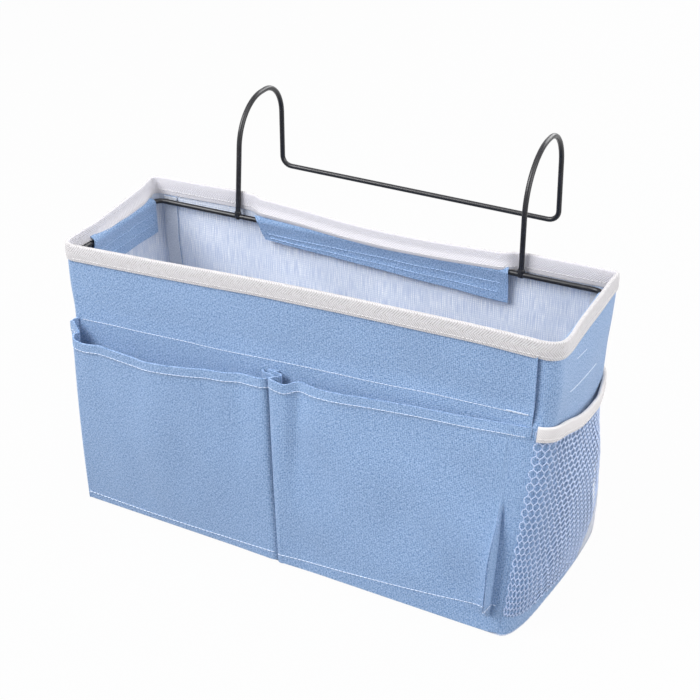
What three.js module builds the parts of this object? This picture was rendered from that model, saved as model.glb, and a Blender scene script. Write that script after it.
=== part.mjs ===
// Bedside caddy: a fabric bag with front and end pockets, hung from a bent wire frame.
// Millimetres, +Z up. X runs along the front, +Y points to the bed rail, and the origin
// is the middle of the base's underside.
import * as THREE from "three";

// Bag
const RIM_LENGTH = 380; // outside of the fabric along X
const RIM_DEPTH = 122; // outside of the fabric along Y
const RIM_HEIGHT = 222; // top of the binding
const RIM_CORNER_R = 14;
const UPRIGHT_BAND = 50; // the walls are upright this far down from the rim
const BASE_NARROWING = 5; // each end comes in by this much at the base
const BASE_ADVANCE = 14; // the front comes forward by this much at the base
const BASE_CORNER_R = 24;
const FABRIC = 1;
const CLEARANCE = 0.3; // between pieces that are sewn, welded or pressed together

// Binding tape folded over the rim
const TAPE = 0.9;
const BINDING_OUTSIDE = 13;
const BINDING_INSIDE = 10.5;

// Wire frame
const WIRE_R = 2;
const RING_INSET = 5.5; // wire centre from the outside of the fabric
const RING_BELOW_BINDING = 5; // wire centre below the binding's inner edge
const HOOK_BESIDE_FLAP = 12; // from a hook's wire to the end of the back flap between the hooks
const HOOK_OFFSET = 6; // the bracket is welded this far to the right of the middle
const HOOK_GAP = 70.5; // clear width for the rail
const HOOK_RISE = 72; // top of the hooks above the rim, wire centre
const CROSSBAR_BELOW_RIM = 1;
const CROSSBAR_BEND_R = 8;
const WELD_WIDTH = 1;
const WELD_HEIGHT = 3;

// Flaps that close over the ring with hook and loop tape
const FLAP = 0.8;
const FLAP_DROP = 31; // below the binding's inner edge
const LONG_FLAP_LENGTH = 208;
const END_FLAP_FRONT_GAP = 13; // from the ring's front bend to the end flap
const END_FLAP_BACK_GAP = 1; // from the ring's back bend to the end flap
const STRIP_THICKNESS = 1.2;
const HOOK_STRIP_HEIGHT = 12;
const LOOP_STRIP_HEIGHT = 20;
const STRIP_MARGIN = 2; // fabric left beside a sewn strip

// Front pockets
const POCKET_TOP = 156;
const POCKET_SPLIT_X = -10; // seam between the two pockets
const POCKET_SEAM = 12; // pressed flat up to here
const POCKET_MOUTH = 20; // how far the hem stands off the front
const POCKET_BELLY = 4; // the face's crown between its pleats
const PLEAT = 13; // depth of the folded ends
const HEM = 8;
const HEM_EXTRA = 0.8; // turned-under layer

// Net pockets on the ends
const NET_TOP = 158;
const NET_LOW = 6;
const NET = 0.8;
const NET_SEAM_STANDOFF = 0.9; // off the end panel where the net is sewn down
const NET_BULGE = 14;
const NET_MOUTH_SHARE = 0.55; // of the bulge that is left at the mouth
const NET_CELLS_ALONG = 8;
const NET_CELLS_UP = 8;
const NET_HOLE_SHARE = 0.76; // of a cell
const NET_BINDING = 14;

// Facets
const WIRE_SIDES = 10;
const BEND_STEP = Math.PI / 14;
const CORNER_STEPS = 5;
const FACE_STEPS = 7;

const blueFabric = { color: 0x8fb0d9, roughness: 0.95, metalness: 0 };
const whiteTape = { color: 0xe5dedb, roughness: 0.9, metalness: 0 };
const netThread = { color: 0xb9c9e6, roughness: 0.85, metalness: 0 };
const blackWire = { color: 0x2b2b33, roughness: 0.38, metalness: 0.6 };
const hookTape = { color: 0x86a9d2, roughness: 0.8, metalness: 0 };

const RING_Z = RIM_HEIGHT - BINDING_INSIDE - RING_BELOW_BINDING;
const RING_Y = RIM_DEPTH / 2 - RING_INSET;
const RING_BEND_R = RIM_CORNER_R - RING_INSET;
const HOOK_SPACING = LONG_FLAP_LENGTH + 2 * HOOK_BESIDE_FLAP;
const WALL_TOP = RIM_HEIGHT - TAPE - CLEARANCE;
const WALL_LOW = FABRIC + CLEARANCE;
const SLOPE_TOP = RIM_HEIGHT - UPRIGHT_BAND;

const caddy = new THREE.Group();

function addPiece(parent, name, geometry, finish) {
  const mesh = new THREE.Mesh(geometry, new THREE.MeshStandardMaterial(finish));
  mesh.name = name;
  parent.add(mesh);
  return mesh;
}

// A closed geometry from triangles, turned to face outwards.
function closedGeometry(triangles) {
  const volume = triangles.reduce((sum, [a, b, c]) => sum + a.dot(b.clone().cross(c)), 0);
  const facing = volume < 0 ? triangles.map(([a, b, c]) => [a, c, b]) : triangles;
  return new THREE.BufferGeometry().setFromPoints(facing.flat());
}

function quad(a, b, c, d) {
  return [
    [a, b, c],
    [a, c, d],
  ];
}

// A sheet of fabric as a solid: each row has an outer and an inner line of points.
// A looped strip joins its last row to its first.
function stripLoft(rows, looped = false) {
  const triangles = [];
  const last = rows[0].outer.length - 1;
  const steps = looped ? rows.length : rows.length - 1;
  for (let i = 0; i < steps; i++) {
    const row = rows[i];
    const next = rows[(i + 1) % rows.length];
    for (let k = 0; k < last; k++) {
      triangles.push(...quad(row.outer[k], row.outer[k + 1], next.outer[k + 1], next.outer[k]));
      triangles.push(...quad(row.inner[k], next.inner[k], next.inner[k + 1], row.inner[k + 1]));
    }
    triangles.push(...quad(row.outer[0], next.outer[0], next.inner[0], row.inner[0]));
    triangles.push(...quad(row.outer[last], row.inner[last], next.inner[last], next.outer[last]));
  }
  if (!looped) {
    const first = rows[0];
    const end = rows[rows.length - 1];
    for (let k = 0; k < last; k++) {
      triangles.push(...quad(first.outer[k], first.inner[k], first.inner[k + 1], first.outer[k + 1]));
      triangles.push(...quad(end.outer[k], end.outer[k + 1], end.inner[k + 1], end.inner[k]));
    }
  }
  return closedGeometry(triangles);
}

// The two edges of a ribbon of even thickness along a line of 2-D points.
function ribbon(points, thickness) {
  const half = thickness / 2;
  const headings = points.slice(1).map((p, k) => p.clone().sub(points[k]).normalize());
  const outer = [];
  const inner = [];
  points.forEach((p, k) => {
    const before = headings[Math.max(k - 1, 0)];
    const after = headings[Math.min(k, headings.length - 1)];
    const normal = new THREE.Vector2(before.y + after.y, -before.x - after.x).normalize();
    const mitre = half / Math.max(normal.dot(new THREE.Vector2(after.y, -after.x)), 0.5);
    outer.push(p.clone().addScaledVector(normal, mitre));
    inner.push(p.clone().addScaledVector(normal, -mitre));
  });
  return { outer, inner };
}

// The bag's outline at a level, drawn in by an inset.
function plan(z, inset) {
  const slope = Math.max(0, 1 - z / SLOPE_TOP);
  return {
    halfLength: RIM_LENGTH / 2 - BASE_NARROWING * slope - inset,
    front: -RIM_DEPTH / 2 - BASE_ADVANCE * slope + inset,
    back: RIM_DEPTH / 2 - inset,
    radius: RIM_CORNER_R + (BASE_CORNER_R - RIM_CORNER_R) * slope - inset,
  };
}

// Points round the right end, from the front seam to the back seam.
function endLine(z, inset) {
  const { halfLength, front, back, radius } = plan(z, inset);
  const points = [];
  for (const [y, start] of [
    [front + radius, -Math.PI / 2],
    [back - radius, 0],
  ]) {
    for (let k = 0; k <= CORNER_STEPS; k++) {
      const angle = start + (k / CORNER_STEPS) * (Math.PI / 2);
      const x = halfLength - radius + radius * Math.cos(angle);
      points.push(new THREE.Vector3(x, y + radius * Math.sin(angle), z));
    }
  }
  return points;
}

// The point at a share of the way round the right end, standing out from the fabric.
function endPoint(share, z, out) {
  const { halfLength, front, back, radius } = plan(z, 0);
  const arc = (Math.PI / 2) * radius;
  const run = back - front - 2 * radius;
  const along = share * (2 * arc + run);
  const onRun = Math.min(Math.max(along - arc, 0), run);
  const angle = (along - onRun) / radius - Math.PI / 2;
  const reach = radius + out;
  const x = halfLength - radius + reach * Math.cos(angle);
  return new THREE.Vector3(x, front + radius + onRun + reach * Math.sin(angle), z);
}

const mirrored = (point) => new THREE.Vector3(-point.x, point.y, point.z);

// Both ends of the bag use one set of shapes, and the left one is its mirror image.
const rightEnd = new THREE.Group();
const leftEnd = new THREE.Group();
leftEnd.scale.x = -1;
caddy.add(rightEnd, leftEnd);

function addBothEnds(name, makeGeometry, finish) {
  addPiece(rightEnd, `right_${name}`, makeGeometry(), finish);
  addPiece(leftEnd, `left_${name}`, makeGeometry(), finish);
}

// Bag panels

const wallLevels = [WALL_LOW, SLOPE_TOP / 3, (2 * SLOPE_TOP) / 3, SLOPE_TOP, WALL_TOP];

function frontBackPanel(side) {
  const rows = wallLevels.map((z) => {
    const edge = plan(z, 0).halfLength - plan(z, 0).radius - CLEARANCE;
    const line = (inset) =>
      [-edge, edge].map((x) => new THREE.Vector3(x, plan(z, inset)[side], z));
    return { outer: line(0), inner: line(FABRIC) };
  });
  return stripLoft(rows);
}

function endPanel() {
  return stripLoft(wallLevels.map((z) => ({ outer: endLine(z, 0), inner: endLine(z, FABRIC) })));
}

function basePanel() {
  const right = endLine(0, 0);
  const left = right.map(mirrored).reverse();
  const outline = [...right, ...left].map((p) => new THREE.Vector2(p.x, p.y));
  return new THREE.ExtrudeGeometry(new THREE.Shape(outline), { depth: FABRIC, bevelEnabled: false });
}

addPiece(caddy, "front_panel", frontBackPanel("front"), blueFabric);
addPiece(caddy, "back_panel", frontBackPanel("back"), blueFabric);
addBothEnds("end_panel", endPanel, blueFabric);
addPiece(caddy, "base_panel", basePanel(), blueFabric);

// Rim binding: tape folded over the top edge, sewn through on both sides

function rimBinding() {
  const outside = -CLEARANCE - TAPE;
  const inside = FABRIC + CLEARANCE + TAPE;
  const outerLow = RIM_HEIGHT - BINDING_OUTSIDE;
  const innerLow = RIM_HEIGHT - BINDING_INSIDE;
  const outerFold = [
    [outside, outerLow],
    [outside, RIM_HEIGHT],
    [inside, RIM_HEIGHT],
    [inside, innerLow],
  ];
  const innerFold = [
    [outside + TAPE, outerLow],
    [outside + TAPE, RIM_HEIGHT - TAPE],
    [inside - TAPE, RIM_HEIGHT - TAPE],
    [inside - TAPE, innerLow],
  ];
  const stations = 2 * (CORNER_STEPS + 1);
  const atStation = (fold, k) => fold.map(([inset, z]) => endLine(z, inset)[k]);
  const right = Array.from({ length: stations }, (_, k) => ({
    outer: atStation(outerFold, k),
    inner: atStation(innerFold, k),
  }));
  const left = right
    .map(({ outer, inner }) => ({ outer: outer.map(mirrored), inner: inner.map(mirrored) }))
    .reverse();
  return stripLoft([...right, ...left], true);
}

addPiece(caddy, "rim_binding", rimBinding(), whiteTape);

// Wire frame

// A wire's centre line: straight runs joined by round bends, with points only at the bends.
class BentWire extends THREE.Curve {
  constructor(corners, bendRadii) {
    super();
    this.points = [corners[0]];
    this.headings = [corners[1].clone().sub(corners[0]).normalize()];
    for (let k = 1; k < corners.length - 1; k++) {
      this.addBend(corners[k - 1], corners[k], corners[k + 1], bendRadii[k - 1]);
    }
    this.points.push(corners[corners.length - 1]);
    this.headings.push(this.headings[this.headings.length - 1]);
  }

  addBend(before, corner, after, radius) {
    const arriving = corner.clone().sub(before).normalize();
    const leaving = after.clone().sub(corner).normalize();
    const turn = arriving.angleTo(leaving);
    const steps = Math.max(2, Math.round(turn / BEND_STEP));
    const start = corner.clone().addScaledVector(arriving, -radius * Math.tan(turn / 2));
    const inwards = leaving.clone().addScaledVector(arriving, -leaving.dot(arriving)).normalize();
    const centre = start.clone().addScaledVector(inwards, radius);
    for (let k = 0; k <= steps; k++) {
      const angle = (k / steps) * turn;
      const spoke = inwards.clone().multiplyScalar(-Math.cos(angle));
      spoke.addScaledVector(arriving, Math.sin(angle));
      this.points.push(centre.clone().addScaledVector(spoke, radius));
      const heading = arriving.clone().multiplyScalar(Math.cos(angle));
      this.headings.push(heading.addScaledVector(inwards, Math.sin(angle)));
    }
  }

  get steps() {
    return this.points.length - 1;
  }

  getPointAt(share, target = new THREE.Vector3()) {
    return target.copy(this.points[Math.round(share * this.steps)]);
  }

  getTangentAt(share, target = new THREE.Vector3()) {
    return target.copy(this.headings[Math.round(share * this.steps)]);
  }
}

function wire(corners, bendRadii) {
  const path = new BentWire(corners, bendRadii);
  const section = Array.from({ length: WIRE_SIDES }, (_, k) => {
    const angle = (2 * Math.PI * k) / WIRE_SIDES;
    return new THREE.Vector2(WIRE_R * Math.cos(angle), WIRE_R * Math.sin(angle));
  });
  const shape = new THREE.Shape(section);
  return new THREE.ExtrudeGeometry(shape, { steps: path.steps, extrudePath: path });
}

// The ring's ends meet in a butt joint at the middle of the back.
function rimRing() {
  const x = RIM_LENGTH / 2 - RING_INSET;
  const corners = [
    [CLEARANCE / 2, RING_Y],
    [x, RING_Y],
    [x, -RING_Y],
    [-x, -RING_Y],
    [-x, RING_Y],
    [-CLEARANCE / 2, RING_Y],
  ].map(([px, py]) => new THREE.Vector3(px, py, RING_Z));
  return wire(corners, Array(4).fill(RING_BEND_R));
}

const hookLeft = HOOK_OFFSET - HOOK_SPACING / 2;
const hookRight = HOOK_OFFSET + HOOK_SPACING / 2;
const footZ = RING_Z + WIRE_R + CLEARANCE;

// One wire: up from the ring, over the rail, along the crossbar and back the same way.
function hookBracket() {
  const hookWidth = HOOK_GAP + 2 * WIRE_R;
  const rearY = RING_Y + hookWidth;
  const topZ = RIM_HEIGHT + HOOK_RISE;
  const barZ = RIM_HEIGHT - CROSSBAR_BELOW_RIM;
  const corners = [
    [hookLeft, RING_Y, footZ],
    [hookLeft, RING_Y, topZ],
    [hookLeft, rearY, topZ],
    [hookLeft, rearY, barZ],
    [hookRight, rearY, barZ],
    [hookRight, rearY, topZ],
    [hookRight, RING_Y, topZ],
    [hookRight, RING_Y, footZ],
  ].map((corner) => new THREE.Vector3(...corner));
  const arch = hookWidth / 2;
  return wire(corners, [arch, arch, CROSSBAR_BEND_R, CROSSBAR_BEND_R, arch, arch]);
}

// A fillet of weld metal round the foot of a hook, standing on the ring.
function weldBead() {
  const bore = WIRE_R + CLEARANCE;
  const profile = [
    [bore, 0],
    [bore + WELD_WIDTH, 0],
    [bore + WELD_WIDTH / 2, WELD_HEIGHT],
    [bore, WELD_HEIGHT],
    [bore, 0],
  ].map(([r, z]) => new THREE.Vector2(r, z));
  return new THREE.LatheGeometry(profile, WIRE_SIDES).rotateX(Math.PI / 2);
}

addPiece(caddy, "rim_ring", rimRing(), blackWire);
addPiece(caddy, "hook_bracket", hookBracket(), blackWire);
addPiece(caddy, "left_weld", weldBead(), blackWire).position.set(hookLeft, RING_Y, footZ);
addPiece(caddy, "right_weld", weldBead(), blackWire).position.set(hookRight, RING_Y, footZ);

// Flaps: each hangs from the binding's inner edge, goes over the ring and closes on the wall.
// They are drawn for the back wall, with y = 0 on its outside, and turned to the others.

const bindingInner = FABRIC + CLEARANCE + TAPE;
const loopStripY = -FABRIC - CLEARANCE - STRIP_THICKNESS / 2;
const hookStripY = loopStripY - STRIP_THICKNESS - CLEARANCE;
const flapLowY = hookStripY - STRIP_THICKNESS / 2 - CLEARANCE - FLAP / 2;
const flapRootY = -bindingInner - CLEARANCE - FLAP / 2;
const flapRootZ = RIM_HEIGHT - BINDING_INSIDE - CLEARANCE - FLAP / 2;
const flapLowZ = RIM_HEIGHT - BINDING_INSIDE - FLAP_DROP;
const hookStripZ = flapLowZ + STRIP_MARGIN + HOOK_STRIP_HEIGHT / 2;

// The angle, seen from a circle's centre, at which a line from a point touches the circle.
function tangentAngle(centre, radius, point, side) {
  const offset = point.clone().sub(centre);
  return offset.angle() + side * Math.acos(radius / offset.length());
}

function flapLine() {
  const root = new THREE.Vector2(flapRootY, flapRootZ);
  const ring = new THREE.Vector2(-RING_INSET, RING_Z);
  const straightTop = new THREE.Vector2(flapLowY, hookStripZ + HOOK_STRIP_HEIGHT / 2 + STRIP_MARGIN);
  const reach = WIRE_R + CLEARANCE + FLAP / 2;
  const from = tangentAngle(ring, reach, root, 1);
  const to = tangentAngle(ring, reach, straightTop, -1);
  const steps = Math.max(2, Math.round((to - from) / (2 * BEND_STEP)));
  const over = Array.from({ length: steps + 1 }, (_, k) => {
    const angle = from + (k / steps) * (to - from);
    const spoke = new THREE.Vector2(Math.cos(angle), Math.sin(angle));
    return ring.clone().addScaledVector(spoke, reach);
  });
  return [root, ...over, straightTop, new THREE.Vector2(flapLowY, flapLowZ)];
}

// A profile in the YZ plane drawn out along X, centred.
function alongWall(points, length) {
  const geometry = new THREE.ExtrudeGeometry(new THREE.Shape(points), {
    depth: length,
    bevelEnabled: false,
  });
  const turn = new THREE.Matrix4().makeBasis(
    new THREE.Vector3(0, 1, 0),
    new THREE.Vector3(0, 0, 1),
    new THREE.Vector3(1, 0, 0),
  );
  return geometry.translate(0, 0, -length / 2).applyMatrix4(turn);
}

function addFlap(wall, length, x, y, turn) {
  const group = new THREE.Group();
  group.position.set(x, y, 0);
  group.rotation.z = turn;
  caddy.add(group);
  const { outer, inner } = ribbon(flapLine(), FLAP);
  const flap = alongWall([...outer, ...inner.reverse()], length);
  addPiece(group, `${wall}_flap`, flap, blueFabric);
  const stripLength = length - 2 * STRIP_MARGIN;
  const hooks = new THREE.BoxGeometry(stripLength, STRIP_THICKNESS, HOOK_STRIP_HEIGHT);
  addPiece(group, `${wall}_hook_strip`, hooks, hookTape).position.set(0, hookStripY, hookStripZ);
  const loops = new THREE.BoxGeometry(stripLength, STRIP_THICKNESS, LOOP_STRIP_HEIGHT);
  addPiece(group, `${wall}_loop_strip`, loops, hookTape).position.set(0, loopStripY, hookStripZ);
}

const endFlapLength = 2 * (RING_Y - RING_BEND_R) - END_FLAP_FRONT_GAP - END_FLAP_BACK_GAP;
const endFlapY = (END_FLAP_FRONT_GAP - END_FLAP_BACK_GAP) / 2;
addFlap("back", LONG_FLAP_LENGTH, HOOK_OFFSET, RIM_DEPTH / 2, 0);
addFlap("right", endFlapLength, RIM_LENGTH / 2, endFlapY, -Math.PI / 2);
addFlap("left", endFlapLength, -RIM_LENGTH / 2, endFlapY, Math.PI / 2);

// Front pockets: a panel whose folded ends open like bellows towards the hem.

const layerPitch = FABRIC + CLEARANCE;

function pocketRow(z, left, right, thickness) {
  const open = Math.max(0, (z - POCKET_SEAM) / (POCKET_TOP - POCKET_SEAM));
  const spread = ((POCKET_MOUTH - 2 * layerPitch) / 2) * open;
  const wall = plan(z, 0).front - CLEARANCE - thickness / 2;
  const face = wall - 2 * spread - 2 * layerPitch;
  const fold = [
    [0, wall],
    [PLEAT, wall - spread],
    [PLEAT, wall - spread - layerPitch],
    [0, face + layerPitch],
    [0, face],
  ];
  const points = fold.map(([x, y]) => new THREE.Vector2(left + x, y));
  for (let k = 1; k < FACE_STEPS; k++) {
    const share = k / FACE_STEPS;
    const crown = POCKET_BELLY * open * 4 * share * (1 - share);
    points.push(new THREE.Vector2(left + share * (right - left), face - crown));
  }
  points.push(...fold.reverse().map(([x, y]) => new THREE.Vector2(right - x, y)));
  const raise = (p) => new THREE.Vector3(p.x, p.y, z);
  const { outer, inner } = ribbon(points, thickness);
  return { outer: outer.map(raise), inner: inner.map(raise) };
}

// left and right give the pocket's ends at a level.
function frontPocket(left, right) {
  const hemLow = POCKET_TOP - HEM;
  const step = (hemLow - POCKET_SEAM) / 3;
  const levels = [WALL_LOW, POCKET_SEAM, POCKET_SEAM + step, POCKET_SEAM + 2 * step, hemLow];
  const plain = levels.map((z) => pocketRow(z, left(z), right(z), FABRIC));
  const hemLevels = [hemLow + HEM_EXTRA, POCKET_TOP];
  const hemmed = hemLevels.map((z) => pocketRow(z, left(z), right(z), FABRIC + HEM_EXTRA));
  return stripLoft([...plain, ...hemmed]);
}

const pocketInset = (FABRIC + HEM_EXTRA + CLEARANCE) / 2;
const cornerSeam = (z) => plan(z, 0).halfLength - plan(z, 0).radius - pocketInset;
const splitLeft = () => POCKET_SPLIT_X - pocketInset;
const splitRight = () => POCKET_SPLIT_X + pocketInset;
const leftPocket = frontPocket((z) => -cornerSeam(z), splitLeft);
const rightPocket = frontPocket(splitRight, cornerSeam);
addPiece(caddy, "left_front_pocket", leftPocket, blueFabric);
addPiece(caddy, "right_front_pocket", rightPocket, blueFabric);

// Net pockets: a bulging net from seam to seam round each end, bound along its top.

// How far the net's inner face stands off the end panel: least at the seams and the base,
// most a third of the way up, and held off by the binding's inner layer near the top.
function netStandoff(share, z) {
  const up = (z - NET_LOW) / (NET_TOP - NET_LOW);
  const belly = up < 1 / 3 ? Math.sin((3 * up * Math.PI) / 2) : 1 - (1 - NET_MOUTH_SHARE) * (1.5 * up - 0.5);
  const bound = CLEARANCE + TAPE;
  return NET_SEAM_STANDOFF + bound * up + NET_BULGE * belly * Math.sin(Math.PI * share);
}

const netColumns = 2 * NET_CELLS_ALONG;

// A point of the net, which is flat between its columns, at a depth out from its inner face.
function netPoint(column, z, depth) {
  const atColumn = (k) => endPoint(k / netColumns, z, netStandoff(k / netColumns, z) + depth);
  const before = Math.floor(column);
  return atColumn(before).lerp(atColumn(Math.min(before + 1, netColumns)), column - before);
}

function endNet() {
  const rows = 2 * NET_CELLS_UP;
  const netHigh = NET_TOP - TAPE - CLEARANCE;
  const at = (i, j, depth) => netPoint(i, NET_LOW + (j / rows) * (netHigh - NET_LOW), depth);
  const faces = [];
  const bothFaces = (...corners) => {
    const back = corners.map(([i, j]) => at(i, j, 0));
    const front = corners.map(([i, j]) => at(i, j, NET));
    for (let k = 2; k < corners.length; k++) {
      faces.push([front[0], front[k - 1], front[k]], [back[0], back[k], back[k - 1]]);
    }
  };
  const wall = ([i, j], [m, n]) => {
    faces.push(...quad(at(i, j, 0), at(m, n, 0), at(m, n, NET), at(i, j, NET)));
  };
  const holeCell = (i, j) => {
    const reach = NET_HOLE_SHARE;
    const ring = [
      [1, 0],
      [0, 1],
      [-1, 0],
      [0, -1],
    ];
    ring.forEach(([di, dj], k) => {
      const [ni, nj] = ring[(k + 1) % ring.length];
      const hole = [i + reach * di, j + reach * dj];
      const nextHole = [i + reach * ni, j + reach * nj];
      bothFaces([i + di, j + dj], [i + ni, j + nj], nextHole, hole);
      wall(nextHole, hole);
    });
  };
  for (let i = 1; i < netColumns; i++) {
    for (let j = 1; j < rows; j++) {
      if ((i + j) % 2) holeCell(i, j);
    }
  }
  // Solid half cells close the net's four edges.
  const edgeCell = (a, b, c) => {
    bothFaces(a, b, c);
    wall(a, b);
  };
  for (let i = 1; i < netColumns; i += 2) {
    edgeCell([i - 1, 0], [i, 0], [i, 1]);
    edgeCell([i, 0], [i + 1, 0], [i, 1]);
    edgeCell([i + 1, rows], [i, rows], [i, rows - 1]);
    edgeCell([i, rows], [i - 1, rows], [i, rows - 1]);
  }
  for (let j = 1; j < rows; j += 2) {
    edgeCell([netColumns, j - 1], [netColumns, j + 1], [netColumns - 1, j]);
    edgeCell([0, j + 1], [0, j - 1], [1, j]);
  }
  return closedGeometry(faces);
}

function netBinding() {
  const low = NET_TOP - NET_BINDING;
  const inside = -CLEARANCE - TAPE;
  const outside = NET + CLEARANCE + TAPE;
  const outerFold = [
    [outside, low],
    [outside, NET_TOP],
    [inside, NET_TOP],
    [inside, low],
  ];
  const innerFold = [
    [outside - TAPE, low],
    [outside - TAPE, NET_TOP - TAPE],
    [inside + TAPE, NET_TOP - TAPE],
    [inside + TAPE, low],
  ];
  const rows = Array.from({ length: netColumns + 1 }, (_, k) => {
    const place = ([depth, z]) => netPoint(k, z, depth);
    return { outer: outerFold.map(place), inner: innerFold.map(place) };
  });
  return stripLoft(rows);
}

addBothEnds("net_pocket", endNet, netThread);
addBothEnds("net_binding", netBinding, whiteTape);

export default caddy;
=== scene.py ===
"""The looks of a bedside caddy: a fabric bag with pockets on a bent wire frame that hooks over a rail.

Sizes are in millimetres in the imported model's frame: X along the front, Y towards the rail, Z up, with
the origin in the middle of the base's underside. Points become metres when a mesh is made.
"""

import logging
from dataclasses import dataclass
from enum import Enum
from typing import Any, Callable, Sequence

import bpy
import numpy as np
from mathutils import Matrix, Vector


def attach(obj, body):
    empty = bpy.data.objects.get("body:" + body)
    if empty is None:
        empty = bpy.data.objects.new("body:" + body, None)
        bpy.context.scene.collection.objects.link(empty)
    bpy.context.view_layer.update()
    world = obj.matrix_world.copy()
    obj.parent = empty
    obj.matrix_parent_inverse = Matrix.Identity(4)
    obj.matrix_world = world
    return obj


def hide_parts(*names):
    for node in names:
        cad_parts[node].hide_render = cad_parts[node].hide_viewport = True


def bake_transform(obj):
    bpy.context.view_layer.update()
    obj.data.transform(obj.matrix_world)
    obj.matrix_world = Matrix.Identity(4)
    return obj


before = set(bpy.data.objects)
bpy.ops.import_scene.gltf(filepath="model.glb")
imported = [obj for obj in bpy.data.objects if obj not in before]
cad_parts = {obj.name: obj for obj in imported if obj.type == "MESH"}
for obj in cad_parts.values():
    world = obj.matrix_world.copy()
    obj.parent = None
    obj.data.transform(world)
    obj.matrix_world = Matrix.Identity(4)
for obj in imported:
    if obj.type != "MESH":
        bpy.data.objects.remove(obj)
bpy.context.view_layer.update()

Array = np.ndarray
Table = tuple[Sequence[float], Sequence[float]]
Pairs = tuple[tuple[float, float], ...]
Row = tuple[float, ...]
Placing = Callable[[Array, Array], Array]

MM = 0.001
THREAD_MAP = "thread_mm"
ROOT_BODY = "bag_and_frame"
UP = np.array([0.0, 0.0, 1.0])
# A wave texture of scale 1 repeats every 0.314 units.
WAVE_UNIT = 0.31416
LOG = logging.getLogger("bedside_caddy")


class Wall(Enum):
    """The bag's walls, in the order that its outline goes round, anticlockwise from above."""

    FRONT = 0
    RIGHT = 1
    BACK = 2
    LEFT = 3

    @property
    def long(self) -> bool:
        """Whether it is the front or the back."""
        return self.value % 2 == 0


# Numbers and curves


def linear(code: str) -> tuple[float, float, float, float]:
    """Turns an sRGB hex colour to linear light.

    Args:
        code: The colour, as #RRGGBB.

    Returns:
        Red, green, blue and an alpha of 1.
    """
    level = np.array([int(code[i : i + 2], 16) for i in (1, 3, 5)]) / 255.0
    light = np.where(level <= 0.04045, level / 12.92, ((level + 0.055) / 1.055) ** 2.4)
    return (*light.tolist(), 1.0)


def ease(x: Array, low: float, high: float) -> Array:
    """Goes smoothly from 0 at low to 1 at high: three times the square less twice the cube.

    Args:
        x: Where to work it out.
        low: Where it is still 0.
        high: Where it has become 1; it may be below low.

    Returns:
        The eased share at each x.
    """
    share = np.clip((x - low) / (high - low), 0.0, 1.0)
    return share * share * (3.0 - 2.0 * share)


def curve_through(x: Array, table: Table) -> Array:
    """Runs a smooth curve through a table: a cubic between two entries, with slopes from their neighbours.

    Args:
        x: Where to work it out; past the ends it holds the end's value.
        table: The places, rising, and the value at each.

    Returns:
        The curve's value at each x.
    """
    places, values = (np.asarray(row, float) for row in table)
    slopes = np.gradient(values, places)
    x = np.clip(x, places[0], places[-1])
    i = np.clip(np.searchsorted(places, x, side="right") - 1, 0, len(places) - 2)
    step = places[i + 1] - places[i]
    t = (x - places[i]) / step
    start = (2 * t**3 - 3 * t**2 + 1) * values[i] + (t**3 - 2 * t**2 + t) * step * slopes[i]
    return start + (3 * t**2 - 2 * t**3) * values[i + 1] + (t**3 - t**2) * step * slopes[i + 1]


def soft_waves(u: Array, v: Array, seed: int, length: float) -> Array:
    """Makes the slack of hanging cloth: the mean of six sine waves of seeded directions and lengths.

    Args:
        u: First coordinate in mm.
        v: Second coordinate in mm.
        seed: Chooses the waves.
        length: Their middle length in mm.

    Returns:
        Heights between -1 and 1.
    """
    rng = np.random.default_rng(seed)
    turn, phase = rng.uniform(0.0, 2.0 * np.pi, (2, 6))
    pitch = length * rng.uniform(0.6, 1.6, 6)
    along = u[..., None] * np.cos(turn) + v[..., None] * np.sin(turn)
    return np.sin(2.0 * np.pi * along / pitch + phase).mean(-1)


def unit(vectors: Array) -> Array:
    """Scales vectors to length 1."""
    return vectors / np.linalg.norm(vectors, axis=-1, keepdims=True)


def lengths_along(points: Array) -> Array:
    """Gives the length run along a line of points, up to each of them."""
    steps = np.linalg.norm(np.diff(points, axis=0), axis=-1)
    return np.concatenate([[0.0], np.cumsum(steps)])


def read_along(spots: Array, run: Array, vectors: Array) -> Array:
    """Reads vectors that are given along a line at other lengths along it, straight between two of them."""
    return np.stack([np.interp(spots, run, vectors[:, k]) for k in range(3)], axis=-1)


def turn_angles(count: int) -> Array:
    """Gives that many even angles of one turn, as a column."""
    return np.linspace(0.0, 2.0 * np.pi, count, endpoint=False)[:, None]


# Meshes as whole arrays


@dataclass
class Patch:
    """A mesh in the making: points, faces of four corners, thread coordinates and finish numbers."""

    points: Array
    faces: Array
    thread: Array
    finish: Array

    def turned(self) -> "Patch":
        """The same patch with its faces turned over."""
        return Patch(self.points, self.faces[:, ::-1], self.thread[:, ::-1], self.finish)


def joined(patches: Sequence[Patch]) -> Patch:
    """Puts patches into one, with their faces renumbered.

    Args:
        patches: The patches.

    Returns:
        One patch.
    """
    starts = np.cumsum([0] + [len(p.points) for p in patches[:-1]])
    return Patch(
        np.concatenate([p.points for p in patches]),
        np.concatenate([p.faces + start for p, start in zip(patches, starts)]),
        np.concatenate([p.thread for p in patches]),
        np.concatenate([p.finish for p in patches]),
    )


def joined_up(grid: Array, looped: bool, ringed: bool) -> Array:
    """Repeats a grid's first column or row after its last, where the grid joins up with itself."""
    grid = np.concatenate([grid, grid[:, :1]], axis=1) if looped else grid
    return np.concatenate([grid, grid[:1]], axis=0) if ringed else grid


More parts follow.
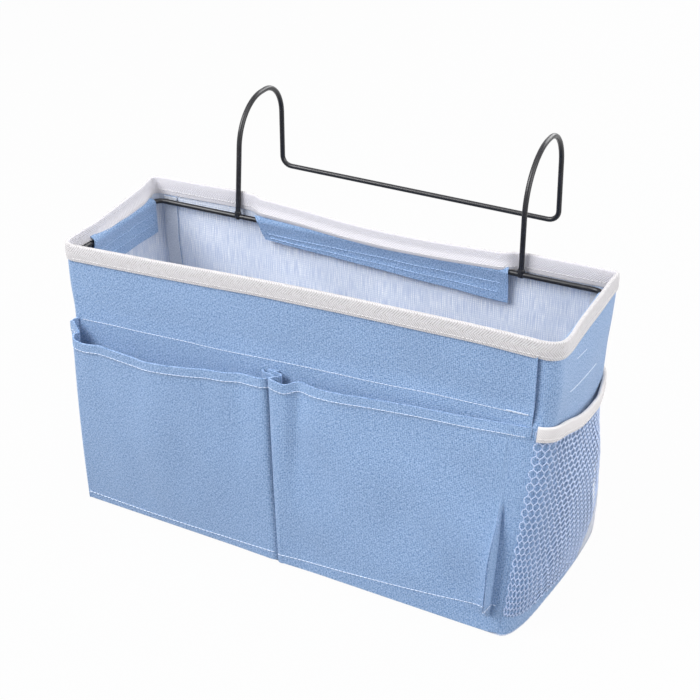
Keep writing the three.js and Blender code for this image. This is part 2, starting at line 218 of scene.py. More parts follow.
def grid_faces(rows: int, columns: int, looped: bool = False, ringed: bool = False) -> Array:
    """Numbers the corners of a grid's faces, so that they point along columns x rows.

    Args:
        rows: Rows of points.
        columns: Columns of points.
        looped: Whether the last column joins the first.
        ringed: Whether the last row joins the first.

    Returns:
        Four point numbers for each face.
    """
    index = joined_up(np.arange(rows * columns).reshape(rows, columns), looped, ringed)
    corners = [index[:-1, :-1], index[:-1, 1:], index[1:, 1:], index[1:, :-1]]
    return np.stack(corners, axis=-1).reshape(-1, 4)


def across_grid(points: Array, looped: bool, ringed: bool) -> Array:
    """Measures thread coordinates on a grid: the length along its rows, from the middle, and up its columns.

    Args:
        points: Rows by columns of points, in mm.
        looped: Whether the last column joins the first.
        ringed: Whether the last row joins the first.

    Returns:
        Two coordinates in mm for each point, with the joining column or row repeated.
    """
    points = joined_up(points, looped, ringed)
    along, up = np.zeros(points.shape[:2]), np.zeros(points.shape[:2])
    along[:, 1:] = np.cumsum(np.linalg.norm(np.diff(points, axis=1), axis=-1), axis=1)
    up[1:] = np.cumsum(np.linalg.norm(np.diff(points, axis=0), axis=-1), axis=0)
    return np.stack([along - along[:, along.shape[1] // 2 :][:, :1], up], axis=-1)


def grid_patch(points: Array, looped: bool = False, ringed: bool = False, finish: int = 0) -> Patch:
    """Makes one skin over a grid of points.

    Args:
        points: Rows by columns of points, in mm.
        looped: Whether the last column joins the first.
        ringed: Whether the last row joins the first.
        finish: The finish number of its faces.

    Returns:
        The skin, with its thread coordinates measured on it.
    """
    rows, columns = points.shape[:2]
    faces = grid_faces(rows, columns, looped, ringed)
    thread = across_grid(points, looped, ringed)
    corners = thread.reshape(-1, 2)[grid_faces(*thread.shape[:2])]
    return Patch(points.reshape(-1, 3), faces, corners, np.full(len(faces), finish))


def end_faces(ring: Array) -> Array:
    """Closes an even ring of points as a ladder: each rung joins a point to the one across from it.

    Args:
        ring: The points' numbers.

    Returns:
        Four point numbers for each face.
    """
    half = len(ring) // 2
    near, far = ring[:half], ring[::-1][:half]
    return np.stack([near[:-1], near[1:], far[1:], far[:-1]], axis=-1)


def closed_tube(points: Array) -> Patch:
    """Makes a tube with closed ends from rows of section points.

    Args:
        points: Rows along the tube by an even number of points round it, in mm.

    Returns:
        The tube.
    """
    rows, columns = points.shape[:2]
    skin = grid_patch(points, looped=True)
    last = np.arange((rows - 1) * columns, rows * columns)
    ends = np.concatenate([end_faces(np.arange(columns))[:, ::-1], end_faces(last)])
    thread = np.zeros((len(ends), 4, 2))
    return Patch(
        skin.points,
        np.concatenate([skin.faces, ends]),
        np.concatenate([skin.thread, thread]),
        np.zeros(len(skin.faces) + len(ends), int),
    )


def closed_tubes(points: Array) -> Patch:
    """Makes many tubes of one form with closed ends.

    Args:
        points: Tubes by rows along each by an even number of points round it, in mm.

    Returns:
        All the tubes, each with the first one's thread coordinates.
    """
    one = closed_tube(points[0])
    count, size = points.shape[0], points.shape[1] * points.shape[2]
    faces = one.faces + size * np.arange(count)[:, None, None]
    return Patch(
        points.reshape(-1, 3),
        faces.reshape(-1, 4),
        np.tile(one.thread, (count, 1, 1)),
        np.zeros(count * len(one.faces), int),
    )


def sheet_patch(outer: Array, inner: Array, inner_finish: int = 1) -> Patch:
    """Makes a sheet with a right side, a reverse and closed edges from two grids of points.

    Args:
        outer: The right side's points, rows by columns.
        inner: The reverse's points, as many.
        inner_finish: The finish number of the reverse.

    Returns:
        The closed sheet, whose reverse and edges take the right side's thread coordinates.
    """
    rows, columns = outer.shape[:2]
    right = grid_patch(outer)
    index = np.arange(rows * columns).reshape(rows, columns)
    rim = np.concatenate([index[0], index[1:, -1], index[-1, -2::-1], index[-2:0:-1, 0]])
    after, below = np.roll(rim, -1), rows * columns
    edge = np.stack([after, rim, rim + below, after + below], axis=-1)
    thread = across_grid(outer, False, False).reshape(-1, 2)
    return Patch(
        np.concatenate([right.points, inner.reshape(-1, 3)]),
        np.concatenate([right.faces, right.faces[:, ::-1] + below, edge]),
        np.concatenate([right.thread, right.thread[:, ::-1], thread[edge % below]]),
        np.repeat([0, inner_finish, 0], [len(right.faces), len(right.faces), len(edge)]),
    )


@dataclass
class Surface:
    """A face in space: place gives its points from two parameters, relief lifts them along its normal."""

    place: Placing
    relief: Placing | None = None
    steps: tuple[float, float] = (1e-3, 0.05)

    def normal(self, s: Array, t: Array) -> Array:
        """Gives the direction at right angles to both parameters' directions, found by small steps.

        Args:
            s: First parameter.
            t: Second parameter.

        Returns:
            One unit vector for each pair.
        """
        ds, dt = self.steps
        along = self.place(s + ds, t) - self.place(s - ds, t)
        up = self.place(s, t + dt) - self.place(s, t - dt)
        return unit(np.cross(along, up))

    def at(self, s: Array, t: Array, out: float | Array = 0.0) -> Array:
        """Gives points on the face or off it: the place, plus relief and out along the normal.

        Args:
            s: First parameter.
            t: Second parameter.
            out: Distance off the face, in mm.

        Returns:
            The points.
        """
        s, t = np.broadcast_arrays(np.asarray(s, float), np.asarray(t, float))
        lift = np.zeros(s.shape) + out
        lift = lift + self.relief(s, t) if self.relief else lift
        return self.place(s, t) + self.normal(s, t) * lift[..., None]

    def sheet(self, s: Array, t: Array, thickness: float | Array, inner_finish: int = 1) -> Patch:
        """Makes the face a sheet of cloth that has its thickness behind it.

        Args:
            s: First parameter of each column.
            t: Second parameter of each row.
            thickness: The cloth's, in mm, for all of it or for each point.
            inner_finish: The finish number of the reverse.

        Returns:
            The closed sheet.
        """
        tt, ss = np.meshgrid(t, s, indexing="ij")
        return sheet_patch(self.at(ss, tt), self.at(ss, tt, -np.asarray(thickness)), inner_finish)


def tube_points(path: Array, radius: float | Array, side: Array, sides: int, closed: bool = False) -> Array:
    """Carries a circle along a path, square to it.

    Args:
        path: The middle line's points, in mm.
        radius: The circle's, for all or for each point of the path.
        side: A direction, or one for each point, that is never along the path.
        sides: Points round the circle.
        closed: Whether the path joins up.

    Returns:
        Rows along the path by points round it.
    """
    around = np.roll(path, -1, axis=0) - np.roll(path, 1, axis=0)
    tangent = unit(around if closed else np.gradient(path, axis=0))
    side = np.broadcast_to(side, path.shape)
    side = unit(side - (side * tangent).sum(-1, keepdims=True) * tangent)
    over = np.cross(tangent, side)
    turn = turn_angles(sides)
    circle = side[:, None] * np.cos(turn) + over[:, None] * np.sin(turn)
    return path[:, None] + np.broadcast_to(radius, len(path))[:, None, None] * circle


def bent_path(corners: Sequence[Sequence[float]], radii: Sequence[float], turns: int = 14) -> Array:
    """Bends a wire round corners: straight runs joined by arcs that are tangent to both.

    Args:
        corners: The corner points with both ends, in mm.
        radii: The bend radius at each corner but the ends.
        turns: Points on each arc.

    Returns:
        The wire's middle line.
    """
    spots = np.asarray(corners, float)
    line = [spots[:1]]
    for corner, radius, before, after in zip(spots[1:-1], radii, spots, spots[2:]):
        back, ahead = unit(before - corner), unit(after - corner)
        half = np.arccos(np.clip(back @ ahead, -1.0, 1.0)) / 2.0
        middle = corner + unit(back + ahead) * radius / np.sin(half)
        sweep = np.linspace(-1.0, 1.0, turns)[:, None] * (np.pi / 2.0 - half)
        arc = np.sin(sweep) * unit(ahead - back) - np.cos(sweep) * unit(back + ahead)
        line.append(middle + radius * arc)
    return np.concatenate(line + [spots[-1:]])


def evened(path: Array, step: float) -> Array:
    """Spaces a path's points evenly.

    Args:
        path: The points, in mm.
        step: About how far apart they get.

    Returns:
        The new points, with the same ends.
    """
    run = lengths_along(path)
    spots = np.linspace(0.0, run[-1], int(np.ceil(run[-1] / step)) + 1)
    return read_along(spots, run, path)


@dataclass(frozen=True)
class Stitching:
    """A row of lock stitches: each is a short thread that arches out of the cloth and dives back in."""

    pitch: float = 3.4
    share: float = 0.9
    thread: float = 0.25
    rise: float = 0.2
    sides: int = 6
    # Where along a stitch its rings lie, and how thick it is at each.
    rings: Row = (0.0, 0.16, 0.5, 0.84, 1.0)
    thickness: Row = (0.55, 0.9, 1.0, 0.9, 0.55)
    # How far the ends dive in, in half threads, and how far the whole stitch lies off the cloth.
    dive: float = 0.6
    off_cloth: float = 0.1

    def row(self, path: Array, normal: Array) -> Patch:
        """Sews along a path: the arch is a half sine above the cloth, carried by a small circle.

        Args:
            path: Points on the cloth, in mm.
            normal: The cloth's outward direction at each.

        Returns:
            All the row's stitches.
        """
        run = lengths_along(path)
        starts = np.arange(0.3 * self.pitch, run[-1] - self.pitch, self.pitch)
        share = np.array(self.rings)
        spots = starts[:, None] + share * self.pitch * self.share
        middle, out = read_along(spots, run, path), unit(read_along(spots, run, normal))
        arch = self.rise * np.sin(np.pi * share) - self.dive * self.thread * (np.abs(share - 0.5) > 0.4)
        middle = middle + out * (arch[:, None] + self.off_cloth)
        beside = unit(np.cross(out, np.gradient(middle, axis=1)))
        turn = turn_angles(self.sides)
        ring = beside[:, :, None] * np.cos(turn) + out[:, :, None] * np.sin(turn)
        thin = np.array(self.thickness)[:, None, None]
        return closed_tubes(middle[:, :, None] + self.thread * thin * ring).turned()

    def along(self, face: Surface, s: Array, t: Array, out: float = 0.0) -> Patch:
        """Sews a row on a face along paired parameters, out mm off it."""
        return self.row(face.at(s, t, out), face.normal(*np.broadcast_arrays(s, t)))


# Finishes


def add_node(
    tree: bpy.types.NodeTree, kind: str, inputs: dict[Any, Any] | None = None, **settings: Any
) -> Any:
    """Adds one shader node with its settings, socket values and links.

    Args:
        tree: The tree that gets the node.
        kind: The node's type, without the words that all types start with.
        inputs: A value or an output socket for each input, by name or number.
        **settings: The node's own properties.

    Returns:
        The node.
    """
    node = tree.nodes.new("ShaderNode" + kind)
    for key, value in settings.items():
        setattr(node, key, value)
    for key, value in (inputs or {}).items():
        if isinstance(value, bpy.types.NodeSocket):
            tree.links.new(value, node.inputs[key])
        else:
            node.inputs[key].default_value = value
    return node


def emptied_tree(owner: bpy.types.Material | bpy.types.World) -> bpy.types.NodeTree:
    """Turns the nodes of a material or a world on and clears them.

    Args:
        owner: The material or world.

    Returns:
        Its empty tree.
    """
    owner.use_nodes = True
    owner.node_tree.nodes.clear()
    return owner.node_tree


@dataclass
class NodeBench:
    """A shader tree with short ways to add the nodes that finishes share; each gives an output socket."""

    tree: bpy.types.NodeTree

    def threads(self) -> Any:
        """Reads the thread coordinates, in mm."""
        return add_node(self.tree, "UVMap", uv_map=THREAD_MAP).outputs["UV"]

    def place(self) -> Any:
        """Reads the place on the object, in metres."""
        return add_node(self.tree, "TexCoord").outputs["Object"]

    def noise(self, spot: Any, scale: float, detail: float) -> Any:
        """Makes a noise of that many spots to the unit."""
        return add_node(self.tree, "TexNoise", {"Vector": spot, "Scale": scale, "Detail": detail}).outputs[0]

    def maths(self, operation: str, *values: Any) -> Any:
        """Works out one operation on up to three values."""
        return add_node(self.tree, "Math", dict(enumerate(values)), operation=operation).outputs[0]

    def ranged(self, value: Any, to: tuple[float, float], start: tuple[float, float] = (0.0, 1.0)) -> Any:
        """Carries a value from one range over to another, and holds it at the ends.

        Args:
            value: The value's socket.
            to: The range that it goes to.
            start: The range that it comes from.

        Returns:
            The new value's socket.
        """
        ends = {"From Min": start[0], "From Max": start[1], "To Min": to[0], "To Max": to[1]}
        return add_node(self.tree, "MapRange", {"Value": value, **ends}).outputs[0]

    def mix(self, share: Any, first: Any, second: Any) -> Any:
        """Mixes two colours by the second one's share."""
        inputs = {0: share, 6: first, 7: second}
        return add_node(self.tree, "Mix", inputs, data_type="RGBA").outputs[2]

    def bump(self, strength: float, depth_mm: float, height: Any) -> Any:
        """Bends the normal by a height."""
        inputs = {"Strength": strength, "Distance": depth_mm * MM, "Height": height}
        return add_node(self.tree, "Bump", inputs).outputs[0]

    def seen(self) -> Any:
        """Tells rays from the camera, off a gloss or through a clear body from all the others.

        Returns:
            The socket of a value that is 1 for those rays and 0 for the others.
        """
        rays = add_node(self.tree, "LightPath").outputs
        seen = self.maths("MAXIMUM", rays["Is Camera Ray"], rays["Is Glossy Ray"])
        return self.maths("MAXIMUM", seen, rays["Is Transmission Ray"])


@dataclass(frozen=True)
class Finish:
    """A surface finish that makes its material once and hands the same one out again."""

    name: str

    def shade(self, bench: NodeBench) -> dict[str, Any]:
        """Gives the surface shader's inputs; each finish has its own."""
        raise NotImplementedError(self.name)

    def material(self) -> bpy.types.Material:
        """Makes or finds the material.

        Returns:
            The material.
        """
        made = bpy.data.materials.get(self.name)
        if made is None:
            made = bpy.data.materials.new(self.name)
            tree = emptied_tree(made)
            surface = add_node(tree, "BsdfPrincipled", self.shade(NodeBench(tree)))
            add_node(tree, "OutputMaterial", {"Surface": surface.outputs["BSDF"]})
        return made


@dataclass(frozen=True)
class PlainWeave(Finish):
    """Dyed cotton and linen in plain weave: thick and thin yarns cross, and slubs show as pale dashes."""

    cloth: str = "#7D9EC8"
    slub: str = "#AFC6E6"
    shade_yarn: str = "#4C709B"
    # The real yarns are about 0.6 mm apart, too fine for the picture, so they are drawn at over twice that.
    yarn_mm: float = 1.3
    slub_wide_mm: float = 0.6
    slub_long_mm: float = 1.7
    # Noise levels between which a slub shows, and how strongly it does, in each direction.
    slub_levels: tuple[float, float] = (0.47, 0.58)
    warp_share: float = 0.5
    weft_share: float = 0.45
    # How dark the gaps between the yarns are.
    speckle: float = 0.9
    relief_mm: float = 0.22
    sheen: float = 0.25

    def shade(self, bench: NodeBench) -> dict[str, Any]:
        """Builds the weave: slub streaks both ways, crossing yarn waves and a slow dye cloud.

        Args:
            bench: The material's nodes.

        Returns:
            The shader's inputs.
        """
        uv, tree = bench.threads(), bench.tree
        wide, long = 1.0 / self.slub_wide_mm, 1.0 / self.slub_long_mm
        streaks = []
        for scale, shift in (((wide, long, 1.0), (0.0, 0.0, 0.0)), ((long, wide, 1.0), (7.0, 3.0, 0.0))):
            stretched = add_node(tree, "Mapping", {"Vector": uv, "Scale": scale, "Location": shift})
            streaks.append(bench.noise(stretched.outputs[0], 1.0, 2.0))
        wave = {"Vector": uv, "Scale": WAVE_UNIT / self.yarn_mm, "Distortion": 1.4, "Detail": 1.0}
        wave["Detail Scale"] = 0.6
        warp, weft = (add_node(tree, "TexWave", wave, bands_direction=axis).outputs[0] for axis in "XY")
        yarns = bench.maths("MULTIPLY", warp, weft)
        grain = bench.noise(uv, 1.0 / self.yarn_mm, 1.0)
        gaps = bench.ranged(bench.maths("MULTIPLY", yarns, grain), (self.speckle, 0.0), (0.0, 0.22))
        dye = bench.ranged(bench.noise(bench.place(), 22.0, 3.0), (0.0, 0.35), (0.3, 0.7))
        colour = bench.mix(dye, linear(self.cloth), linear(self.shade_yarn))
        colour = bench.mix(gaps, colour, linear(self.shade_yarn))
        for streak, strength in zip(streaks, (self.warp_share, self.weft_share)):
            shows = bench.ranged(streak, (0.0, strength), self.slub_levels)
            colour = bench.mix(shows, colour, linear(self.slub))
        slubs = bench.maths("ADD", *streaks)
        height = bench.maths("MULTIPLY_ADD", slubs, 0.9, yarns)
        return {
            "Base Color": colour,
            "Roughness": bench.ranged(slubs, (0.92, 0.74), (0.0, 2.0)),
            "Normal": bench.bump(0.8, self.relief_mm, height),
            "Sheen Weight": self.sheen,
            "Sheen Roughness": 0.5,
            "Specular IOR Level": 0.3,
        }


@dataclass(frozen=True)
class HerringboneTape(Finish):
    """Cotton tape in herringbone twill: slanting ribs that turn back at each rib stripe along the tape."""

    cloth: str = "#D0CED0"
    groove: str = "#7A726F"
    rib_mm: float = 1.9
    stripe_mm: float = 6.5
    # How strongly the grooves show.
    depth: float = 0.8

    def shade(self, bench: NodeBench) -> dict[str, Any]:
        """Builds the twill: a sine of the length run plus the width folded back and forth.

        Args:
            bench: The material's nodes.

        Returns:
            The shader's inputs.
        """
        uv = bench.threads()
        length, width = add_node(bench.tree, "SeparateXYZ", {"Vector": uv}).outputs[:2]
        slant = bench.maths("ADD", bench.maths("PINGPONG", width, self.stripe_mm), length)
        ribs = bench.maths("SINE", bench.maths("MULTIPLY", slant, 2.0 * np.pi / self.rib_mm))
        worn = bench.ranged(bench.noise(uv, 0.35, 4.0), (0.0, 1.0), (0.25, 0.7))
        share = bench.maths("MULTIPLY", bench.ranged(ribs, (0.0, self.depth), (0.1, 1.0)), worn)
        yarn = bench.noise(uv, 1.6, 2.0)
        height = bench.maths("MULTIPLY_ADD", ribs, -0.5, yarn)
        return {
            "Base Color": bench.mix(share, linear(self.cloth), linear(self.groove)),
            "Roughness": bench.ranged(yarn, (0.95, 0.75)),
            "Normal": bench.bump(0.7, 0.25, height),
            "Sheen Weight": 0.2,
            "Sheen Roughness": 0.5,
            "Specular IOR Level": 0.3,
        }


@dataclass(frozen=True)
class TwistedYarn(Finish):
    """Spun yarn, twisted from plies: slanting bands of light and shade with a soft, hairy edge."""

    fibre: str = "#F4F2EF"
    valley: str = "#CFCBC8"
    ply_mm: float = 0.9
    sheen: float = 0.3

    def shade(self, bench: NodeBench) -> dict[str, Any]:
        """Builds the twist: bands of the sum of all three coordinates, roughened by noise.

        Args:
            bench: The material's nodes.

        Returns:
            The shader's inputs.
        """
        scale = (1.0 / MM,) * 3
        spot = add_node(bench.tree, "Mapping", {"Vector": bench.place(), "Scale": scale}).outputs[0]
        wave = {"Vector": spot, "Scale": WAVE_UNIT / self.ply_mm, "Distortion": 2.0}
        twist = add_node(bench.tree, "TexWave", wave, bands_direction="DIAGONAL").outputs[0]
        hair = bench.noise(spot, 0.5, 3.0)
        bands = bench.maths("MULTIPLY", twist, hair)
        share = bench.ranged(bands, (0.6, 0.0), (0.0, 0.5))
        return {
            "Base Color": bench.mix(share, linear(self.fibre), linear(self.valley)),
            "Roughness": bench.ranged(hair, (0.6, 0.85)),
            "Normal": bench.bump(0.5, 0.1, bands),
            "Sheen Weight": self.sheen,
            "Sheen Roughness": 0.4,
        }


@dataclass(frozen=True)
class PaintedWire(Finish):
    """Steel wire in satin black paint: a dark skin with a soft streak of light, and faint drawing marks."""

    paint: str = "#19191D"
    rubbed: str = "#2E2E34"
    grit_mm: float = 1.4

    def shade(self, bench: NodeBench) -> dict[str, Any]:
        """Builds the paint: fine orange peel, and patches rubbed a little paler and smoother.

        Args:
            bench: The material's nodes.

        Returns:
            The shader's inputs.
        """
        place = bench.place()
        peel = bench.noise(place, 1.0 / (self.grit_mm * MM), 2.0)
        rub = bench.noise(place, 60.0, 4.0)
        share = bench.ranged(rub, (0.0, 0.5), (0.5, 0.75))
        return {
            "Base Color": bench.mix(share, linear(self.paint), linear(self.rubbed)),
            "Roughness": bench.ranged(rub, (0.36, 0.22)),
            "Normal": bench.bump(0.25, 0.05, peel),
            "IOR": 1.5,
            "Specular IOR Level": 0.4,
        }


@dataclass(frozen=True)
class FasteningPile(Finish):
    """Nylon hook or loop pile on a woven strip: a field of small points, regular hooks or matted loops."""

    pile: str = "#C9D2E0"
    ground: str = "#93A4BE"
    point_mm: float = 1.6
    # How irregular the points are, from 0 to 1.
    mess: float = 0.3

    def shade(self, bench: NodeBench) -> dict[str, Any]:
        """Builds the pile: rounded cells, more or less regular, paler and higher in their middles.

        Args:
            bench: The material's nodes.

        Returns:
            The shader's inputs.
        """
        uv = bench.threads()
        points = {"Vector": uv, "Scale": 1.0 / self.point_mm, "Randomness": self.mess}
        cells = add_node(bench.tree, "TexVoronoi", points).outputs[0]
        fuzz = bench.noise(uv, 1.2, 4.0)
        share = bench.maths("MULTIPLY", bench.ranged(cells, (1.0, 0.0), (0.0, 0.7)), fuzz)
        return {
            "Base Color": bench.mix(share, linear(self.ground), linear(self.pile)),
            "Roughness": bench.ranged(fuzz, (0.5, 0.8)),
            "Normal": bench.bump(0.9, 0.6, share),
            "Sheen Weight": 0.2,
        }


# The bag's cloth: a soft mid blue, flecked with pale slubs, that scatters light and has no gloss.
CLOTH = PlainWeave("cotton_linen_plain_weave_blue")
# The reverse is paler than the right side and streaked along the warp; its near-white is partly painted
# light, standing in for light that shines in through the thin cloth.
LINING = PlainWeave(
    "cotton_linen_reverse_pale_painted_light",
    cloth="#F6F7FA",
    slub="#B2BFD8",
    shade_yarn="#BBC7DC",
    yarn_mm=1.6,
    slub_wide_mm=0.42,
    slub_long_mm=16.0,
    slub_levels=(0.47, 0.55),
    warp_share=0.8,
    weft_share=0.25,
    speckle=0.6,
    sheen=0.15,
)
# The turned seam edges are greyer and duller than either face: the grey is painted shade, where the doubled
# cloth lets less light through.
SEAM_EDGE_PAINTED_SHADE = PlainWeave(
    "cotton_linen_seam_edge_painted_shade",
    cloth="#C4C9D4",
    slub="#D6DAE2",
    shade_yarn="#A9B0BF",
    speckle=0.5,
    sheen=0.1,
)
# The rim's tape gives the eye a pale band with fine grey zigzags.
RIM_TAPE = HerringboneTape("cotton_herringbone_tape_off_white")
# Inside the bag the tape is pressed flat by the seam, so its ribs hardly show.
TAPE_WITHIN = HerringboneTape(
    "cotton_herringbone_tape_pressed_flat", cloth="#CFCDD2", groove="#ACA8AD", depth=0.25
)
# The end pockets' tape is a flatter weave of the same cotton, a little greyer.
NET_TAPE = HerringboneTape(
    "cotton_flat_tape_off_white", cloth="#D6D3D3", groove="#BDB7B5", rib_mm=1.6, depth=0.3
)
# The net's yarn is a paler blue than the cloth behind it, so that its cells show.
NET_YARN = TwistedYarn("polyester_net_yarn_pale_blue", fibre="#B9C9E7", valley="#A6B9DC", ply_mm=1.2)
# White thread stands out as dashes on the blue cloth; on the flaps and the tapes it is close to their colour.
SEWING_THREAD = TwistedYarn("cotton_sewing_thread_white", fibre="#D6E0EE", valley="#B4C5DC")
FLAP_THREAD = TwistedYarn("cotton_sewing_thread_pale_blue", fibre="#AEC6E4", valley="#93B2D8")
TAPE_THREAD = TwistedYarn("cotton_sewing_thread_off_white", fibre="#DEDCDC", valley="#CBC8C7")
# Black paint makes the frame the one dark line in the picture.
WIRE = PaintedWire("steel_wire_satin_black_paint")
# The strips are pale and dull; the hooks stand in rows and the loops are matted.
HOOK_PILE = FasteningPile("nylon_hook_strip_woven")
LOOP_PILE = FasteningPile("nylon_loop_strip_matted", mess=1.0, point_mm=1.1, pile="#D5DCE8")


def add_object(name: str, data: bpy.types.ID) -> bpy.types.Object:
    """Makes an object of a mesh, a lamp or a camera and links it to the scene.

    Args:
        name: The object's name.
        data: What it shows.

    Returns:
        The object.
    """
    thing = bpy.data.objects.new(name, data)
    bpy.context.scene.collection.objects.link(thing)
    return thing


def put_piece(
    name: str,
    patch: Patch,
    dress: Sequence[Finish],
    body: str = ROOT_BODY,
    stands_for: Sequence[str] = (),
    crease: float = 50.0,
    bend: Sequence[Array] | None = None,
) -> bpy.types.Object:
    """Makes a patch an object that rides on a body, unless bend points are given, and is dressed in its
    finishes.

    Args:
        name: The object's name.
        patch: Its mesh, in mm.
        dress: Its finishes, by finish number.
        body: The body it rides on.
        stands_for: The solids that it replaces.
        crease: Faces that meet at more than this many degrees keep a sharp edge.
        bend: Points in mm where cloth that is sewn to the bag would start and end its bend; when they are
            given, the piece stays where it is and is not put on its body, and the points themselves are not
            read.

    Returns:
        The object.
    """
    mesh = bpy.data.meshes.new(name)
    mesh.from_pydata((patch.points * MM).tolist(), [], patch.faces.tolist())
    layer = mesh.uv_layers.new(name=THREAD_MAP)
    layer.uv.foreach_set("vector", patch.thread.astype(np.float32).ravel())
    mesh.polygons.foreach_set("material_index", patch.finish.astype(np.int32))
    mesh.polygons.foreach_set("use_smooth", np.ones(len(patch.faces), bool))
    mesh.set_sharp_from_angle(angle=np.radians(crease))
    for finish in dress:
        mesh.materials.append(finish.material())
    mesh.update()
    piece = add_object(name, mesh)
    if bend is None:
        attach(piece, body)
    else:
        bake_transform(piece)
    if stands_for:
        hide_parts(*stands_for)
    LOG.info("%s: %d faces, rides on %s", name, len(patch.faces), body)
    return piece


# The bag


@dataclass
class BagShape:
    """The walls of the hanging bag: a rounded oblong rim that slumps forwards into an uneven base.

    Corners go round as the walls do: front left, front right, back right, back left.
    """

    half_length: float = 190.0
    half_depth: float = 61.0
    rim_top: float = 222.0
    # How far each corner's curve reaches back along the side before it and on along the side after it.
    rim_reach: Pairs = ((7.0, 7.0), (14.0, 14.0), (5.0, 5.0), (9.0, 9.0))
    base_corners: Pairs = ((-183.5, -71.0), (178.5, -86.5), (188.5, 60.5), (-187.0, 60.5))
    base_reach: Pairs = ((7.0, 7.0), (9.0, 48.0), (8.0, 8.0), (20.0, 20.0))
    # How far the right end bellies out at the base.
    base_belly: float = 5.5
    # The share of an end's length that each corner's curve takes, at the rim and at the base.
    corner_shares: tuple[float, float] = (0.17, 0.24)
    slump_top: float = 172.0
    # The front left corner is drawn in where the pockets' pleat is sewn to it.
    pinch: float = 1.8
    pinch_z: float = 162.0
    pinch_reach: float = 18.0
    # The back right corner stands out at the rim and hangs in between the rim and the base.
    rim_out: float = 1.8
    waist: float = 3.0
    waist_z: float = 105.0
    waist_reach: float = 55.0
    fabric: float = 0.9
    # The share of each wall that its flap spans; the front has none, so its span lies past its end.
    flap_spans: Pairs = ((2.0, 3.0), (0.27, 0.82), (0.19, 0.765), (0.17, 0.74))
    # How far a flap pulls its wall in towards the ring.
    pulled_in: Row = (0.0, 1.5, 5.0, 3.0)
    # How deep the soft waves of each wall's slack are, and how long.
    wave_depths: Row = (0.9, 1.5, 1.8, 1.3)
    wave_length: float = 75.0
    # At the front's right seam the front stands proud of the end.
    seam_step: Row = (1.0, -1.6, 0.0, 0.0)
    # How far the rim stands above or below its level, in mm, by the distance along each wall.
    front_lift: Table = (
        (-180, -140, -100, -60, -20, 20, 80, 120, 177),
        (-5, -3.6, -2.3, -0.5, 1, 2, 2.6, 3, 2.2),
    )
    right_lift: Table = ((-61, -28, 3, 33, 56), (2.0, -3.0, -2.1, -1.2, 0.0))
    back_lift: Table = (
        (-183, -146, -115, -93, -58, -16, 25, 57, 88, 116, 148, 178),
        (3.0, 3.4, 3.9, 3.6, 1.6, -1.9, -3.2, -2.8, -1.6, -0.4, -0.2, 0.0),
    )
    left_lift: Table = ((-61, 0, 61), (-4.8, -1.2, 3.0))

    def slump(self, z: Array) -> Array:
        """Gives the base outline's share in a wall: all at the base, none from the slump's top on."""
        return np.clip(1.0 - z / self.slump_top, 0.0, 1.0)

    def lift(self, wall: Wall, flat: Array) -> Array:
        """Reads how far the rim is lifted over points of a wall's outline."""
        table = (self.front_lift, self.right_lift, self.back_lift, self.left_lift)[wall.value]
        return curve_through(flat[..., wall.value % 2], table)

    def outline(self, wall: Wall, share: Array, corners: Array, reach: Array, c: float) -> Array:
        """Gives points of a four-cornered outline with rounded corners, along one wall.

        The front and back are straight runs between two corner curves. An end has both its corner
        curves: each is a quadratic curve whose handle is the sharp corner.

        Args:
            wall: Which wall.
            share: How far along it, from 0 to 1.
            corners: The outline's sharp corners.
            reach: How far each corner's curve reaches along the sides before and after it.
            c: The share of an end's length that a corner's curve takes.

        Returns:
            Points in plan.
        """
        after, reach = np.roll(corners, -1, axis=0), np.asarray(reach)
        run = unit(after - corners)
        start, end = corners + reach[:, 1:] * run, after - np.roll(reach[:, :1], -1, axis=0) * run
        k, share = wall.value, np.asarray(share)[..., None]
        if wall.long:
            return start[k] + share * (end[k] - start[k])
        a, b = np.clip(share / c, 0.0, 1.0), np.clip((share - 1.0 + c) / c, 0.0, 1.0)
        first = (1 - a) ** 2 * end[k - 1] + 2 * a * (1 - a) * corners[k] + a**2 * start[k]
        last = (1 - b) ** 2 * end[k] + 2 * b * (1 - b) * after[k] + b**2 * start[(k + 1) % 4]
        middle = start[k] + (share - c) / (1 - 2 * c) * (end[k] - start[k])
        return np.where(share < c, first, np.where(share > 1 - c, last, middle))

    def base_line(self, wall: Wall, share: Array) -> Array:
        """Gives points of the base's outline along one wall: its rounded corners, and the right end's belly.

        Args:
            wall: Which wall.
            share: How far along it, from 0 to 1.

        Returns:
            Points in plan.
        """
        line = self.outline(wall, share, np.array(self.base_corners), self.base_reach, self.corner_shares[1])
        if wall is Wall.RIGHT:
            line[..., 0] += self.base_belly * np.sin(np.pi * np.clip(share, 0.0, 1.0))
        return line

    def place(self, wall: Wall, s: Array, z: Array) -> Array:
        """Gives points of a wall: rim and base outlines mixed by the slump, with the rim's lift eased in.

        Args:
            wall: Which wall.
            s: How far along it, from 0 to 1.
            z: Height, before the rim's lift.

        Returns:
            The points.
        """
        x, y = self.half_length, self.half_depth
        corners = np.array([(-x, -y), (x, -y), (x, y), (-x, y)])
        rim = self.outline(wall, s, corners, self.rim_reach, self.corner_shares[0])
        base = self.base_line(wall, s)
        slump = self.slump(z)[..., None]
        flat = rim * (1.0 - slump) + base * slump
        front_left = ease(flat[..., 0], -160.0, -190.0) * ease(flat[..., 1], -20.0, -55.0)
        back_right = ease(flat[..., 0], 150.0, 185.0) * ease(flat[..., 1], -30.0, 45.0)
        drawn_in = self.pinch * np.exp(-(((z - self.pinch_z) / self.pinch_reach) ** 2))
        waist = self.waist * np.exp(-(((z - self.waist_z) / self.waist_reach) ** 2))
        out = self.rim_out * ease(z, 165.0, 212.0)
        flat[..., 0] += drawn_in * front_left + (out - waist) * back_right
        height = z + self.lift(wall, flat) * ease(z, 60.0, 215.0)
        return np.concatenate([flat, height[..., None]], axis=-1)

